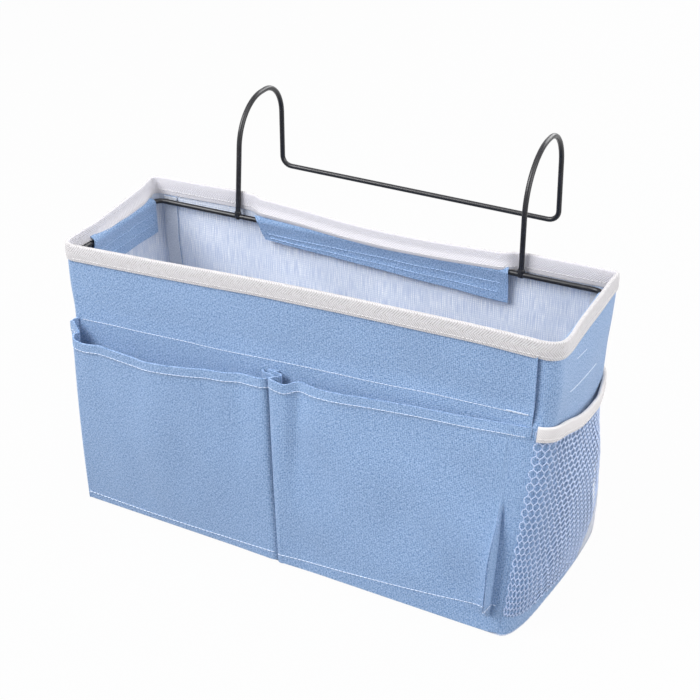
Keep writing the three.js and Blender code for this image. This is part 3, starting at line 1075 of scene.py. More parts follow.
    def front_y(self, x: Array, z: Array) -> Array:
        """Gives the front wall's depth at a point: between the rim's front and the base's front edge.

        Args:
            x: Distance along the front.
            z: Height.

        Returns:
            The depth, which is negative towards the viewer.
        """
        (x0, y0), (x1, y1) = self.base_corners[:2]
        slump = self.slump(z)
        return -self.half_depth * (1.0 - slump) + (y0 + (x - x0) * (y1 - y0) / (x1 - x0)) * slump

    def held(self, wall: Wall, s: Array) -> Array:
        """Gives how firmly a flap holds the rim in along a wall.

        Args:
            wall: Which wall.
            s: How far along it, from 0 to 1.

        Returns:
            From 0 beside the flap to 1 at it.
        """
        low, high = self.flap_spans[wall.value]
        soft = 0.04 if wall.long else 0.2
        return ease(s, low - 0.4 * soft, low + 0.6 * soft) * ease(s, high + 0.4 * soft, high - 0.6 * soft)

    def surface(self, wall: Wall) -> Surface:
        """Makes a wall's outer face, with slack that dies away at the rim, the base and the seams.

        Args:
            wall: Which wall.

        Returns:
            The face, from the share along the wall and the height.
        """
        length = 2.0 * (self.half_length if wall.long else self.half_depth)

        def slack(s: Array, z: Array) -> Array:
            """Soft waves, held flat along every edge, the pull of the flap on the wall, and the seam's step.

            Args:
                s: How far along the wall, from 0 to 1.
                z: Height.

            Returns:
                The lift off the wall, in mm.
            """
            free = ease(z, 0.0, 45.0) * ease(z, self.rim_top - 12.0, self.rim_top - 50.0)
            free = free * ease(s, 0.0, 0.12) * ease(s, 1.0, 0.88)
            held = self.held(wall, s) * ease(z, 203.5, 213.0)
            from_seam = length * (1.0 - s if wall is Wall.FRONT else s)
            step = self.seam_step[wall.value] * np.exp(-((from_seam / 3.2) ** 2))
            step = step * ease(z, 156.0, 166.0) * ease(z, 214.0, 205.0)
            waves = soft_waves(s * length, z, 11 + wall.value, self.wave_length)
            return self.wave_depths[wall.value] * free * waves - self.pulled_in[wall.value] * held + step

        return Surface(lambda s, z: self.place(wall, s, z), slack)


@dataclass
class Bag:
    """The five panels of the bag, with their turned seam allowances, and the tape round the rim."""

    shape: BagShape
    seam_gap: float = 0.0002
    # A turned seam allowance: its width, the share along the wall where it starts, its depth and thickness.
    allowance: float = 12.0
    allowance_at: float = 0.004
    allowance_out: float = -1.25
    allowance_thick: float = 0.8
    # The end's own allowance closes the front's stepped seam from inside, above the pockets: the shares along
    # the front where it starts and ends, its depth and its foot's height.
    closing: tuple[float, float, float, float] = (0.970, 1.020, -2.35, 150.0)
    tape: float = 0.85
    tape_legs: tuple[float, float] = (13.0, 14.0)
    # How far the tape's inner edge stands over the roll of a flap.
    flare: Row = (0.0, 0.5, 3.6, 3.6)
    # Points round the rim along each wall.
    rim_points: tuple[int, ...] = (120, 56, 120, 56)

    def panel(self, wall: Wall) -> Patch:
        """Makes a wall panel with a turned seam allowance at each end of a straight wall.

        Args:
            wall: Which wall.

        Returns:
            The panel, cloth outside and lining inside.
        """
        face, shape = self.shape.surface(wall), self.shape
        z = np.linspace(1.4, shape.rim_top - 1.3, 64)
        s = np.linspace(self.seam_gap, 1.0 - self.seam_gap, 150 if wall.long else 80)
        panel = face.sheet(s, z, shape.fabric)
        if not wall.long:
            return panel
        start, out = self.allowance_at, self.allowance_out
        end = start + self.allowance / (2.0 * shape.half_length)
        spans = [(start, end, out, 0.0), (1.0 - end, 1.0 - start, out, 0.0)]
        spans += [self.closing] if wall is Wall.FRONT else []
        strips, levels = [panel], z[1:-4]
        for low, high, out, foot in spans:
            tt, ss = np.meshgrid(levels[levels > foot], np.linspace(low, high, 7), indexing="ij")
            wavy = out + 0.25 * soft_waves(tt, ss * 400.0, 3, 30.0)
            # The allowances' inner faces take finish 2, the grey seam edge, whose grey is painted shade.
            strips.append(sheet_patch(face.at(ss, tt, wavy), face.at(ss, tt, wavy - self.allowance_thick), 2))
        return joined(strips)

    def base(self) -> Patch:
        """Makes the base panel: a square grid whose rings grow from the middle to the base's outline.

        Returns:
            The panel, lining above and cloth below.
        """
        shape = self.shape
        middle = np.mean(shape.base_corners, axis=0)
        line = np.linspace(-1.0, 1.0, 61)
        b, a = np.meshgrid(line, line, indexing="ij")
        ring = np.maximum(np.abs(a), np.abs(b))
        far = np.where(ring == 0.0, 1.0, ring)
        outlines = {
            Wall.FRONT: (1.0 + a / far) / 2.0,
            Wall.RIGHT: (1.0 + b / far) / 2.0,
            Wall.BACK: (1.0 - a / far) / 2.0,
            Wall.LEFT: (1.0 - b / far) / 2.0,
        }
        edges = [shape.base_line(wall, share) for wall, share in outlines.items()]
        sides = [(b == -ring)[..., None], (a == ring)[..., None], (b == ring)[..., None]]
        edge = np.select(sides, edges[:3], edges[3])
        flat = middle + (edge - middle) * ring[..., None]
        sag = 0.9 + 0.5 * (1.0 - ring) * soft_waves(flat[..., 0], flat[..., 1], 21, 90.0)
        half = shape.fabric / 2.0
        top, under = (np.concatenate([flat, z[..., None]], axis=-1) for z in (sag + half, sag - half))
        panel = sheet_patch(top, under)
        panel.finish = 1 - panel.finish
        return panel

    def rim_place(self, out: Array, height: Array) -> Array:
        """Walks round the rim on the walls' faces, with the inner edge flared where it goes over a flap.

        Args:
            out: Distance off the walls' outside for each point round the rim, one row for each line.
            height: Height over the rim's top edge, alike.

        Returns:
            The points.
        """
        lines = []
        spots = np.cumsum((0,) + self.rim_points)
        for wall, low, high in zip(Wall, spots, spots[1:]):
            share = np.linspace(0.0, 1.0, high - low, endpoint=False)
            face, off, over = self.shape.surface(wall), out[..., low:high], height[..., low:high]
            flare = self.flare[wall.value] * self.shape.held(wall, share) * ease(over, -6.5, -13.0)
            inside = off < -0.5
            lines.append(face.at(share, self.shape.rim_top + over, off - flare * inside))
        return np.concatenate(lines, axis=-2)

    def build(self) -> None:
        """Builds and dresses the panels and the tape round the rim."""
        names = {Wall.FRONT: "front", Wall.RIGHT: "right_end", Wall.BACK: "back", Wall.LEFT: "left_end"}
        for wall, name in names.items():
            # The lining's near-white is partly painted light, standing in for light through the thin cloth.
            dress = (CLOTH, LINING, SEAM_EDGE_PAINTED_SHADE) if wall.long else (CLOTH, LINING)
            panel = self.panel(wall)
            piece = put_piece(f"{name}_cloth", panel, dress, stands_for=[f"{name}_panel"])
        dress, base = (CLOTH, LINING), self.base()
        piece = put_piece("base_cloth", base, dress, stands_for=["base_panel"])
        level = np.zeros(sum(self.rim_points))
        run = lengths_along(self.rim_place(level, level))
        tape = folded_tape(self.rim_place, run, self.tape, self.shape.fabric, self.tape_legs, True)
        dress = (RIM_TAPE, TAPE_WITHIN)
        piece = put_piece("rim_tape", tape, dress, stands_for=["rim_binding"])


def folded_tape(
    place: Placing, run: Array, tape: float, core: float, legs: tuple[float, float], closed: bool
) -> Patch:
    """Folds a tape over the top edge of a cloth and carries that section along the edge.

    The section goes up the outside, round a half circle over the edge, down the inside, and back along
    its own underside. Its lower edges wander a little, as a sewn tape's do.

    Args:
        place: Gives the points along the edge from a distance out of the cloth and a height over its edge.
        run: The length run along the edge, up to each point of that line.
        tape: The tape's thickness.
        core: The thickness of what it folds over.
        legs: How far it comes down outside and inside.
        closed: Whether the edge goes all the way round.

    Returns:
        The tape.
    """
    gap = 0.15
    half, middle = core / 2.0 + gap + tape, -core / 2.0
    thin = half - tape
    outside, inside = legs
    bow = np.linspace(0.0, np.pi, 9)
    leg = np.linspace(0.0, 1.0, 7)[:-1]
    puff = 0.3 * np.sin(np.pi * leg)
    skin = [
        np.stack([middle + half + puff, -outside + leg * (outside - half)], axis=-1),
        np.stack([middle + half * np.cos(bow), -half + half * np.sin(bow)], axis=-1),
        np.stack([middle - half - puff[::-1], -half - (leg + leg[1]) * (inside - half)], axis=-1),
    ]
    core_side = [
        np.stack([middle - thin - 0 * leg, -inside + leg * (inside - half)], axis=-1),
        np.stack([middle - thin * np.cos(bow), -half + thin * np.sin(bow)], axis=-1),
        np.stack([middle + thin + 0 * leg, -half - (leg + leg[1]) * (outside - half)], axis=-1),
    ]
    out, height = np.concatenate(skin + core_side).T[..., None]
    wander = 0.35 * soft_waves(run, 0.0 * run, 5, 55.0) * ((run - run[0]) * (run[-1] - run) > 0.0)
    height = height + np.clip(-height / outside, 0.0, 1.0) * wander
    points = place(out + 0.0 * height, height)
    if not closed:
        return closed_tube(points.swapaxes(0, 1)).turned()
    ring = grid_patch(points, looped=True, ringed=True)
    # The section's outer face ends at the middle of the fold.
    fold = len(leg) + len(bow) // 2
    ring.finish[:] = np.repeat(np.arange(len(out)) > fold, len(run))
    return ring


# The wire frame


@dataclass
class WireFrame:
    """The frame: a wire ring inside the rim, and one wire bent into two hooks and a crossbar."""

    # Half the wire's gauge, and the points round it.
    wire: float = 2.0
    sides: int = 14
    ring_x: float = 184.5
    ring_y: float = 55.5
    ring_z: float = 206.5
    ring_bend: float = 8.5
    hooks_x: tuple[float, float] = (-110.0, 122.0)
    rear_y: float = 130.0
    foot_z: float = 208.8
    top_z: float = 294.0
    bar_z: float = 221.0
    bar_bend: float = 8.0
    # The bends were made by hand: how far the front and rear legs lean, and how the bar tilts.
    lean: tuple[float, float] = (9.0, -1.0)
    splay: tuple[float, float] = (-0.5, 5.5)
    tilt: tuple[float, float] = (1.5, -5.5)
    # The radii of a hook's front and rear bends, as shares of its width.
    bend_shares: tuple[float, float] = (0.56, 0.41)

    def ring(self) -> Patch:
        """Sweeps the ring's wire round its four bends.

        Returns:
            The closed ring.
        """
        x, y, z = self.ring_x, self.ring_y, self.ring_z
        corners = [(0, -y, z), (x, -y, z), (x, y, z), (-x, y, z), (-x, -y, z), (0, -y, z)]
        path = evened(bent_path(corners, [self.ring_bend] * 4), 2.5)[:-1]
        points = tube_points(path, self.wire, UP, self.sides, closed=True)
        return grid_patch(points, looped=True, ringed=True)

    def bracket_path(self) -> tuple[Array, Array]:
        """Lays out the bracket's wire: over a hook, down to the bar, along it, and back by the other hook.

        Returns:
            The wire's middle line, and at each point a direction that is never along it.
        """
        (left, right), y, rear = self.hooks_x, self.ring_y, self.rear_y
        back = (rear + self.splay[0], rear + self.splay[1])
        corners = [
            (left, y, self.foot_z),
            (left, y + self.lean[0], self.top_z),
            (left, back[0], self.top_z),
            (left, back[0], self.bar_z + self.tilt[0]),
            (right, back[1], self.bar_z + self.tilt[1]),
            (right, rear, self.top_z),
            (right, y + self.lean[1], self.top_z),
            (right, y, self.foot_z),
        ]
        spans = (back[0] - y - self.lean[0], rear - y - self.lean[1])
        front_bend, rear_bend = self.bend_shares
        radii = [front_bend * spans[0], rear_bend * spans[0]] + [self.bar_bend] * 2
        radii += [rear_bend * spans[1], front_bend * spans[1]]
        path = evened(bent_path(corners, radii, 22), 2.0)
        # The side direction turns from across the hooks to along the rail's depth, over the rear legs.
        share = ease(path[:, 2], self.bar_z + 32.0, self.bar_z + 12.0) * (path[:, 1] > rear - 20.0)
        turn = 0.5 * np.pi * share
        return path, np.stack([np.cos(turn), np.sin(turn), 0.0 * turn], axis=-1)

    def weld(self, x: float) -> Patch:
        """Makes a weld bead: a lumpy collar that narrows from the ring up the hook's foot.

        Args:
            x: The hook's place along the ring.

        Returns:
            The bead.
        """
        z = np.array([-2.4, -1.9, -1.0, 0.3, 1.6, 2.8, 3.8, 4.4])
        radius = np.array([1.2, 2.1, 2.4, 2.5, 2.45, 2.35, 2.2, 1.9])
        path = np.stack([x + 0 * z, self.ring_y + 0 * z, self.ring_z + z], axis=-1)
        sides, middle, up = 18, path[:, None], z[:, None]
        points = tube_points(path, radius, np.array([1.0, 0.0, 0.0]), sides)
        turn = turn_angles(sides)[:, 0]
        lumps = 1.0 + 0.07 * np.sin(3.0 * turn + up) + 0.05 * np.sin(5.0 * turn - 2.0 * up + x)
        stretch = np.array([1.15, 1.0, 1.0])
        return closed_tube(middle + (points - middle) * lumps[..., None] * stretch)

    def build(self) -> None:
        """Builds and dresses the ring, the bracket and both welds."""
        put_piece("wire_ring", self.ring(), (WIRE,), stands_for=["rim_ring"])
        path, side = self.bracket_path()
        bracket = closed_tube(tube_points(path, self.wire, side, self.sides))
        put_piece("wire_hooks", bracket, (WIRE,), stands_for=["hook_bracket"])
        for side_name, x in zip(("left", "right"), self.hooks_x):
            bead = self.weld(x)
            put_piece(f"{side_name}_bead", bead, (WIRE,), stands_for=[f"{side_name}_weld"])


# The flaps


@dataclass
class Flap:
    """A flap that is sewn in under the rim, goes over the ring and fastens below it.

    Its own frame: along the wall, inset from the wall's outside, and height.
    """

    name: str
    wall: Wall
    middle: float
    length: float
    # How much each end slants in at the lower edge, and how far the lower edge is pulled up at each end.
    slant: tuple[float, float] = (0.0, 0.0)
    pull_up: tuple[float, float] = (0.0, 0.0)
    seed: int = 1
    cloth: float = 0.8
    # The section from the lower edge up to the root: inset and height.
    insets: Row = (4.7, 4.95, 5.6, 6.1, 6.8, 7.75, 8.3, 8.15, 7.5, 6.3, 4.6)
    heights: Row = (180.5, 188.0, 195.0, 198.0, 201.0, 204.3, 206.5, 208.3, 209.5, 210.3, 211.0)
    # The section's places between which the cloth bends as the flap opens: the roll above them stays sewn in
    # under the tape, and the lower leg turns with the flap's body. Their points are only handed to put_piece,
    # which bends nothing.
    bend_places: tuple[int, int] = (6, 2)
    # The lower leg, which a pulled-up edge shortens, reaches up to here.
    leg_top: float = 196.0
    section_mm: float = 35.0
    stitch_levels: tuple[float, float] = (0.11, 0.27)
    # Each strip's inset, lower and upper edge, thickness, and how much of the pulled-up edge it follows.
    hooks: Row = (3.4, 183.0, 194.5, 1.1, 0.75)
    loops: Row = (1.9, 184.0, 199.0, 1.1, 0.7)

    def in_space(self, along: Array, inset: Array, z: Array) -> Array:
        """Moves points from the flap's own frame into the model's.

        Args:
            along: Distance along the wall from the model's middle, to the right seen from inside the bag.
            inset: Distance in from the wall's outside.
            z: Height.

        Returns:
            The points.
        """
        x, y = BagShape.half_length, BagShape.half_depth
        spots = {
            Wall.RIGHT: (x - inset, -along),
            Wall.BACK: (along, y - inset),
            Wall.LEFT: (-x + inset, along),
        }[self.wall]
        return np.stack(np.broadcast_arrays(*spots, z), axis=-1)

    def from_middle(self) -> float:
        """Gives the flap's middle along its own frame, which runs the other way on the right wall."""
        return -self.middle if self.wall is Wall.RIGHT else self.middle

    def raised(self, s: Array) -> Array:
        """Gives how far the lower edge is pulled up along the flap."""
        return self.pull_up[0] + (self.pull_up[1] - self.pull_up[0]) * s

    def surface(self) -> Surface:
        """Makes the flap's inner face: its section carried along the wall, with slanted ends and slack.

        Returns:
            The face, from the share along the flap and the share up its section.
        """
        knots = np.linspace(0.0, 1.0, len(self.insets))

        def place(s: Array, t: Array) -> Array:
            """The section, with its lower leg shortened where the edge is pulled up.

            Args:
                s: The share along the flap.
                t: The share up its section.

            Returns:
                The points.
            """
            inset, z = curve_through(t, (knots, self.insets)), curve_through(t, (knots, self.heights))
            low, top = self.heights[0], self.leg_top
            z = np.where(z < top, top - (top - z) * (top - low - self.raised(s)) / (top - low), z)
            left = -self.length / 2.0 + self.slant[0] * (1.0 - t)
            right = self.length / 2.0 - self.slant[1] * (1.0 - t)
            return self.in_space(self.from_middle() + left + (right - left) * s, inset, z)

        def slack(s: Array, t: Array) -> Array:
            """A turned hem along the lower edge and both ends, and soft waves.

            Args:
                s: The share along the flap.
                t: The share up its section.

            Returns:
                The lift off the section, in mm.
            """
            hem = np.maximum(ease(t, 0.16, 0.12), ease(np.minimum(s, 1.0 - s) * self.length, 6.0, 4.5))
            waves = soft_waves(s * self.length, t * self.section_mm, self.seed, 48.0)
            return 0.35 * hem + (0.25 + 0.7 * ease(t, 0.6, 0.1)) * (0.5 + waves)

        return Surface(place, slack, (1e-3, 1e-3))

    def strip(self, inset: float, low: float, high: float, thick: float, follow: float) -> Patch:
        """Makes a fastening strip with rounded edges, along the wall behind the flap.

        Args:
            inset: Its middle's distance in from the wall's outside.
            low: Its lower edge's height.
            high: Its upper edge's height.
            thick: Its thickness.
            follow: How much of the flap's pulled-up edge it follows, from 0 to 1.

        Returns:
            The closed strip.
        """
        along = np.linspace(-0.5, 0.5, 60) * (self.length - 2.0 * max(self.slant) - 6.0)
        turn = turn_angles(20)
        # The section is a squared circle: a circle's coordinates to the power 0.4, with their signs.
        circle = np.concatenate([np.cos(turn), np.sin(turn)], axis=-1)
        square = np.sign(circle) * np.abs(circle) ** 0.4
        share = along / self.length + 0.5
        z = (low + high) / 2.0 + follow * self.raised(share)[:, None] + square[:, 1] * (high - low) / 2.0
        spots = self.from_middle() + along[:, None] + 0.0 * z
        return closed_tube(self.in_space(spots, inset + square[:, 0] * thick / 2.0, z))

    def build(self) -> None:
        """Builds and dresses the flap, its two rows of stitches and both fastening strips."""
        body, face = f"{self.name}_flap_body", self.surface()
        s, t = np.linspace(0.0, 1.0, max(30, int(self.length / 2.4))), np.linspace(0.0, 1.0, 44)
        cloth = face.sheet(s, t, self.cloth, 0)
        bend = [self.in_space(0.0, self.insets[k], self.heights[k]) for k in self.bend_places]
        solids = [f"{self.name}_flap"]
        piece = put_piece(f"{self.name}_flap_cloth", cloth, (CLOTH,), body, solids, bend=bend)
        s = np.linspace(0.025, 0.975, 80)
        rows = [Stitching().along(face, s, np.full(len(s), level)) for level in self.stitch_levels]
        put_piece(f"{self.name}_flap_stitches", joined(rows), (FLAP_THREAD,), body)
        hooks = self.strip(*self.hooks)
        solids = [f"{self.name}_hook_strip"]
        put_piece(f"{self.name}_hooks", hooks, (HOOK_PILE,), body, solids)
        loops = self.strip(*self.loops)
        solids = [f"{self.name}_loop_strip"]
        put_piece(f"{self.name}_loops", loops, (LOOP_PILE,), stands_for=solids)


# The pockets


@dataclass
class FrontPocket:
    """A bellows pocket on the front: pleated ends, a face that stands out at the mouth, and a hem.

    Its plan is a row of columns from seam to seam. Each has its place along the front and its depth off
    the wall at the base, and both again at the mouth.
    """

    name: str
    shape: BagShape
    base_x: Row
    mouth_x: Row
    base_depth: Row
    mouth_depth: Row
    mouth_height: Table
    # Each crease's place along the front, its width, its depth, and the share up the pocket where it starts.
    creases: tuple[tuple[float, float, float, float], ...]
    # What the tuck adds to each column's depth, most of it low down.
    tuck: Row
    # The foot row of stitches: its height along the front.
    foot_row: Table
    seed: int
    # The flat cloth's width in metres.
    flat_width: float = 0.205
    fabric: float = 0.9
    hem: float = 8.0
    hem_rise: float = 0.45
    # How far below the mouth the hem's stitches run.
    hem_row: float = 6.6
    # The height that shares up the pocket are counted over.
    tall: float = 150.0
    foot: float = 2.2
    foot_span: tuple[float, float] = (0.13, 0.99)

    def turned(self, t: Array) -> Array:
        """Gives where the cloth is turned over into the hem: 0 below its edge and 1 above."""
        edge = 1.0 - self.hem / self.tall
        return ease(t, edge - 0.004, edge + 0.004)

    def surface(self) -> Surface:
        """Makes the pocket's outer face: the plan's curve, opening steadily from the base to the mouth.

        Returns:
            The face, from the share along the plan and the share up the pocket.
        """
        plan = np.stack([self.mouth_x, self.mouth_depth], axis=-1)
        knots = lengths_along(plan) / lengths_along(plan)[-1]

        def column(s: Array, values: Sequence[float]) -> Array:
            """Reads one of the plan's rows along the curve."""
            return curve_through(s, (knots, values))

        def place(s: Array, t: Array) -> Array:
            """Base and mouth plans mixed by the share up, standing off the front wall.

            Args:
                s: The share along the plan.
                t: The share up the pocket.

            Returns:
                The points.
            """
            opening = t + 0.10 * np.sin(np.pi * np.clip(t, 0.0, 1.0))
            low, high = column(s, self.base_x), column(s, self.mouth_x)
            x = low + (high - low) * t
            z = self.foot + t * (curve_through(high, self.mouth_height) - self.foot)
            depth = column(s, self.base_depth)
            depth = depth + (column(s, self.mouth_depth) - depth) * opening
            depth = depth + column(s, self.tuck) * ease(t, 0.07, 0.15) * ease(t, 0.70, 0.36)
            return np.stack([x, self.shape.front_y(x, z) - depth, z], axis=-1)

        def slack(s: Array, t: Array) -> Array:
            """The hem's step, soft waves on the face, and creases: each a valley that deepens to the mouth.

            Args:
                s: The share along the plan.
                t: The share up the pocket.

            Returns:
                The lift off the plan's curve, in mm.
            """
            x = column(s, self.mouth_x)
            free = ease(t, 0.0, 0.2) * ease(s, knots[5], knots[7]) * ease(s, knots[-3], knots[-6])
            lift = 1.3 * free * soft_waves(x * 1.6, t * self.tall, self.seed, 85.0)
            for middle, width, depth, start in self.creases:
                lift = lift - depth * np.exp(-(((x - middle) / width) ** 2)) * ease(t, start, 0.97) * free
            return lift + self.hem_rise * self.turned(t)

        return Surface(place, slack, (1e-3, 1e-3))

    def build(self) -> None:
        """Builds and dresses the pocket and its two rows of stitches."""
        face = self.surface()
        t = np.concatenate([np.linspace(0.0, 0.9, 48), np.linspace(0.91, 1.0, 14)])
        s = np.linspace(0.0, 1.0, 190)
        cloth = face.sheet(s, t, self.fabric + self.hem_rise * self.turned(t)[:, None])
        dress, solids = (CLOTH, CLOTH), [f"{self.name}_front_pocket"]
        piece = put_piece(f"{self.name}_pocket_cloth", cloth, dress, stands_for=solids)
        count = 260
        s = np.linspace(0.02, 0.985, count)
        rows = [Stitching().along(face, s, np.full(count, 1.0 - self.hem_row / self.tall))]
        s = np.linspace(*self.foot_span, count)
        z = curve_through(face.at(s, np.full(count, 0.05))[:, 0], self.foot_row)
        rows.append(Stitching(thread=0.32).along(face, s, (z - self.foot) / self.tall))
        put_piece(f"{self.name}_pocket_stitches", joined(rows), (SEWING_THREAD,))


@dataclass
class NetPocket:
    """A net pocket on an end of the bag, with a tape folded over its sloping mouth."""

    name: str
    wall: Wall
    shape: BagShape
    # Heights by the share along the end from the front seam to the back one.
    mouth: Table = (
        (0.0, 0.22, 0.42, 0.6, 0.72, 0.8, 0.9, 1.0),
        (161.0, 157.5, 147.0, 139.0, 134.5, 137.5, 143.5, 146.0),
    )
    foot: Table = ((0.0, 0.3, 1.0), (17.0, 7.0, 6.0))
    # Half the width and half the thickness of a yarn, which is knitted flat.
    yarn: tuple[float, float] = (1.0, 0.32)
    # A cell of the knitted net: its mean length along the end, and the rise from one yarn to the next.
    cell_mm: float = 7.6
    rise_mm: float = 4.6
    # The flat net's length along the end and its height, which the cells are counted over.
    net_mm: tuple[float, float] = (150.0, 140.0)
    # How far the net bellies out.
    bulge: float = 5.5
    # A cell's width at the front, as a share of the mean.
    gather: float = 0.5
    # How far the columns of cells lean towards the front from the mouth to the foot, as a share of the end.
    lean: float = 0.2
    # How much of a yarn's rise is in its slack zigzag; the rest is in the loops.
    slack: float = 0.4
    # The share of the end's length where the selvedge starts and where it ends, by the share up the net.
    selvedge: Table = ((0.0, 0.1, 0.25, 0.42, 0.6, 1.0), (0.74, 0.77, 0.835, 0.91, 0.95, 0.96))
    selvedge_end: Table = ((0.0, 0.25, 0.5, 1.0), (0.90, 0.93, 0.955, 0.974))
    # The share along the end that the front pocket's pleat takes up beside this pocket.
    set_back: float = 0.0
    tape: float = 0.85
    tape_legs: tuple[float, float] = (10.4, 10.0)
    # The net's height, with its curve, that the tape's legs are counted over.
    tall: float = 145.0
    # How far above the tape's outer edge its stitches run, and how far off the net's face.
    tape_row: tuple[float, float] = (2.4, 1.75)

    def from_front(self, share: Array) -> Array:
        """Counts the share along the end from its front seam, whichever way the wall goes round."""
        return share if self.wall is Wall.RIGHT else 1.0 - share

    def leaned(self, share: Array, up: Array) -> Array:
        """Leans shares from the front seam, most at the net's middle, and turns them to the wall's own."""
        return self.from_front(share + self.lean * (up - 0.5) * np.sin(np.pi * share))

    def off_wall(self, share: Array, up: Array) -> Array:
        """Gives how far the net stands off the end: a belly, fullest a third of the way up, flat at the back.

        Args:
            share: Along the end.
            up: Share of the net's height.

        Returns:
            The distance in mm.
        """
        rising = np.sin(np.clip(3.0 * up, 0.0, 1.0) * np.pi / 2.0)
        belly = np.where(up < 1 / 3, rising, 1.0 - 0.45 * (1.5 * up - 0.5))
        share = self.from_front(np.clip(share, 0.0, 1.0))
        flat = ease(share, 0.92, 0.66)
        return 0.6 + 0.4 * up + (0.3 + 0.5 * up + self.bulge * belly * np.sin(np.pi * share**1.3)) * flat

    def surface(self) -> Surface:
        """Makes the face that the net lies in.

        Returns:
            The face, from the share along the end and the share up the net.
        """
        wall = self.shape.surface(self.wall)

        def place(s: Array, t: Array) -> Array:
            """Points of the end's wall at the net's height there, moved out by the net's stand-off.

            Args:
                s: The share along the end.
                t: The share up the net.

            Returns:
                The points.
            """
            share = self.from_front(s)
            low, high = curve_through(share, self.foot), curve_through(share, self.mouth)
            along = self.from_front(self.set_back + (1.0 - self.set_back) * share)
            return wall.at(along, low + t * (high - low), self.off_wall(s, t))

        return Surface(place, None, (2e-3, 2e-3))

    def net(self) -> Patch:
        """Knits the net: level yarns that zigzag, each against the next, so neighbours meet at every turn.

        A yarn's height is its row plus half a row times a mix of a triangle wave of the length run and that
        wave's ninth power, which makes a slack zigzag with narrow loops that reach the next yarn. Four-sided
        flat tubes follow the yarns, thicker where two of them meet. A selvedge, wider at the foot, closes the
        net at the back.

        Returns:
            All the yarns and the selvedge.
        """
        face = self.surface()
        rows = int(self.net_mm[1] / self.rise_mm)
        spots = np.arange(0.0, self.net_mm[0] + 0.1, self.cell_mm / 18.0)
        row = np.arange(rows)[:, None]
        wave = 2.0 * np.abs(2.0 * ((spots / self.cell_mm + 0.5 * (row % 2)) % 1.0) - 1.0) - 1.0
        knit = self.slack * wave + (1.0 - self.slack) * wave**9
        up = np.clip((row + 0.5 + 0.5 * knit) / rows, 0.004, 0.985)
        line = np.linspace(0.004, 0.996, 200)
        run = lengths_along(face.at(self.from_front(line), np.full(len(line), 0.5)))

        def at_length(part: Array) -> Array:
            """Turns a share of the end's length into the wall's own share."""
            return np.interp(part, run / run[-1], line)

        # The net is gathered at the front, so its cells grow from a share of their width there.
        gathered = np.cumsum(self.gather + (1.0 - self.gather) * ease(spots, 0.0, 60.0))
        start, ends = 0.012, curve_through(up, self.selvedge) + 0.01
        front = at_length(start + (ends - start) * gathered / gathered[-1])
        front = self.from_front(np.sort(self.from_front(front), axis=1))
        share = self.leaned(front, up)
        middle, out = face.at(share, up), face.normal(share, up)
        beside = np.cross(unit(np.gradient(middle, axis=1)), out)
        knots = 1.0 + 0.3 * np.abs(wave) ** 6
        thick = (knots * (0.3 + 0.7 * ease(self.from_front(share), 0.0, 0.35)))[..., None, None]
        turn = turn_angles(4)
        wide, flat = self.yarn
        ring = flat * out[:, :, None] * np.cos(turn) + wide * beside[:, :, None] * np.sin(turn)
        yarns = closed_tubes(middle[:, :, None] + thick * ring).turned()
        tt, across = np.meshgrid(np.linspace(0.004, 0.95, 60), np.linspace(0.0, 1.0, 5), indexing="ij")
        low, high = curve_through(tt, self.selvedge), curve_through(tt, self.selvedge_end)
        ss = np.sort(self.leaned(at_length(low + (high - low) * across), tt), axis=1)
        band = sheet_patch(face.at(ss, tt, 0.55), face.at(ss, tt, -0.15))
        band.finish[:] = 1
        return joined([yarns, band])

    def build(self) -> None:
        """Builds and dresses the net, its tape and the tape's stitches."""
        name, solids = f"{self.name}_net", [f"{self.name}_net_pocket"]
        # The net's selvedge band is dressed in the grey seam-edge finish, whose grey is painted shade.
        piece = put_piece(name, self.net(), (NET_YARN, SEAM_EDGE_PAINTED_SHADE), stands_for=solids, crease=180.0)
        face, share = self.surface(), np.sort(self.from_front(np.linspace(0.03, 0.996, 90)))
        top = np.ones_like(share)

        def place(out: Array, height: Array) -> Array:
            """Points of the tape on the net's face, whose height is counted from the mouth."""
            return face.at(share, 1.0 + height / self.tall, out + 0.5)

        tape = folded_tape(place, lengths_along(face.at(share, top)), self.tape, 1.0, self.tape_legs, False)
        solids = [f"{self.name}_net_binding"]
        piece = put_piece(f"{name}_tape", tape, (NET_TAPE,), stands_for=solids)
        above, off = self.tape_row
        level = (1.0 - (self.tape_legs[0] - above) / self.tall) * top
        row = Stitching(thread=0.28).row(face.at(share, level, off), face.normal(share, level))
        put_piece(f"{name}_tape_stitches", row, (TAPE_THREAD,))


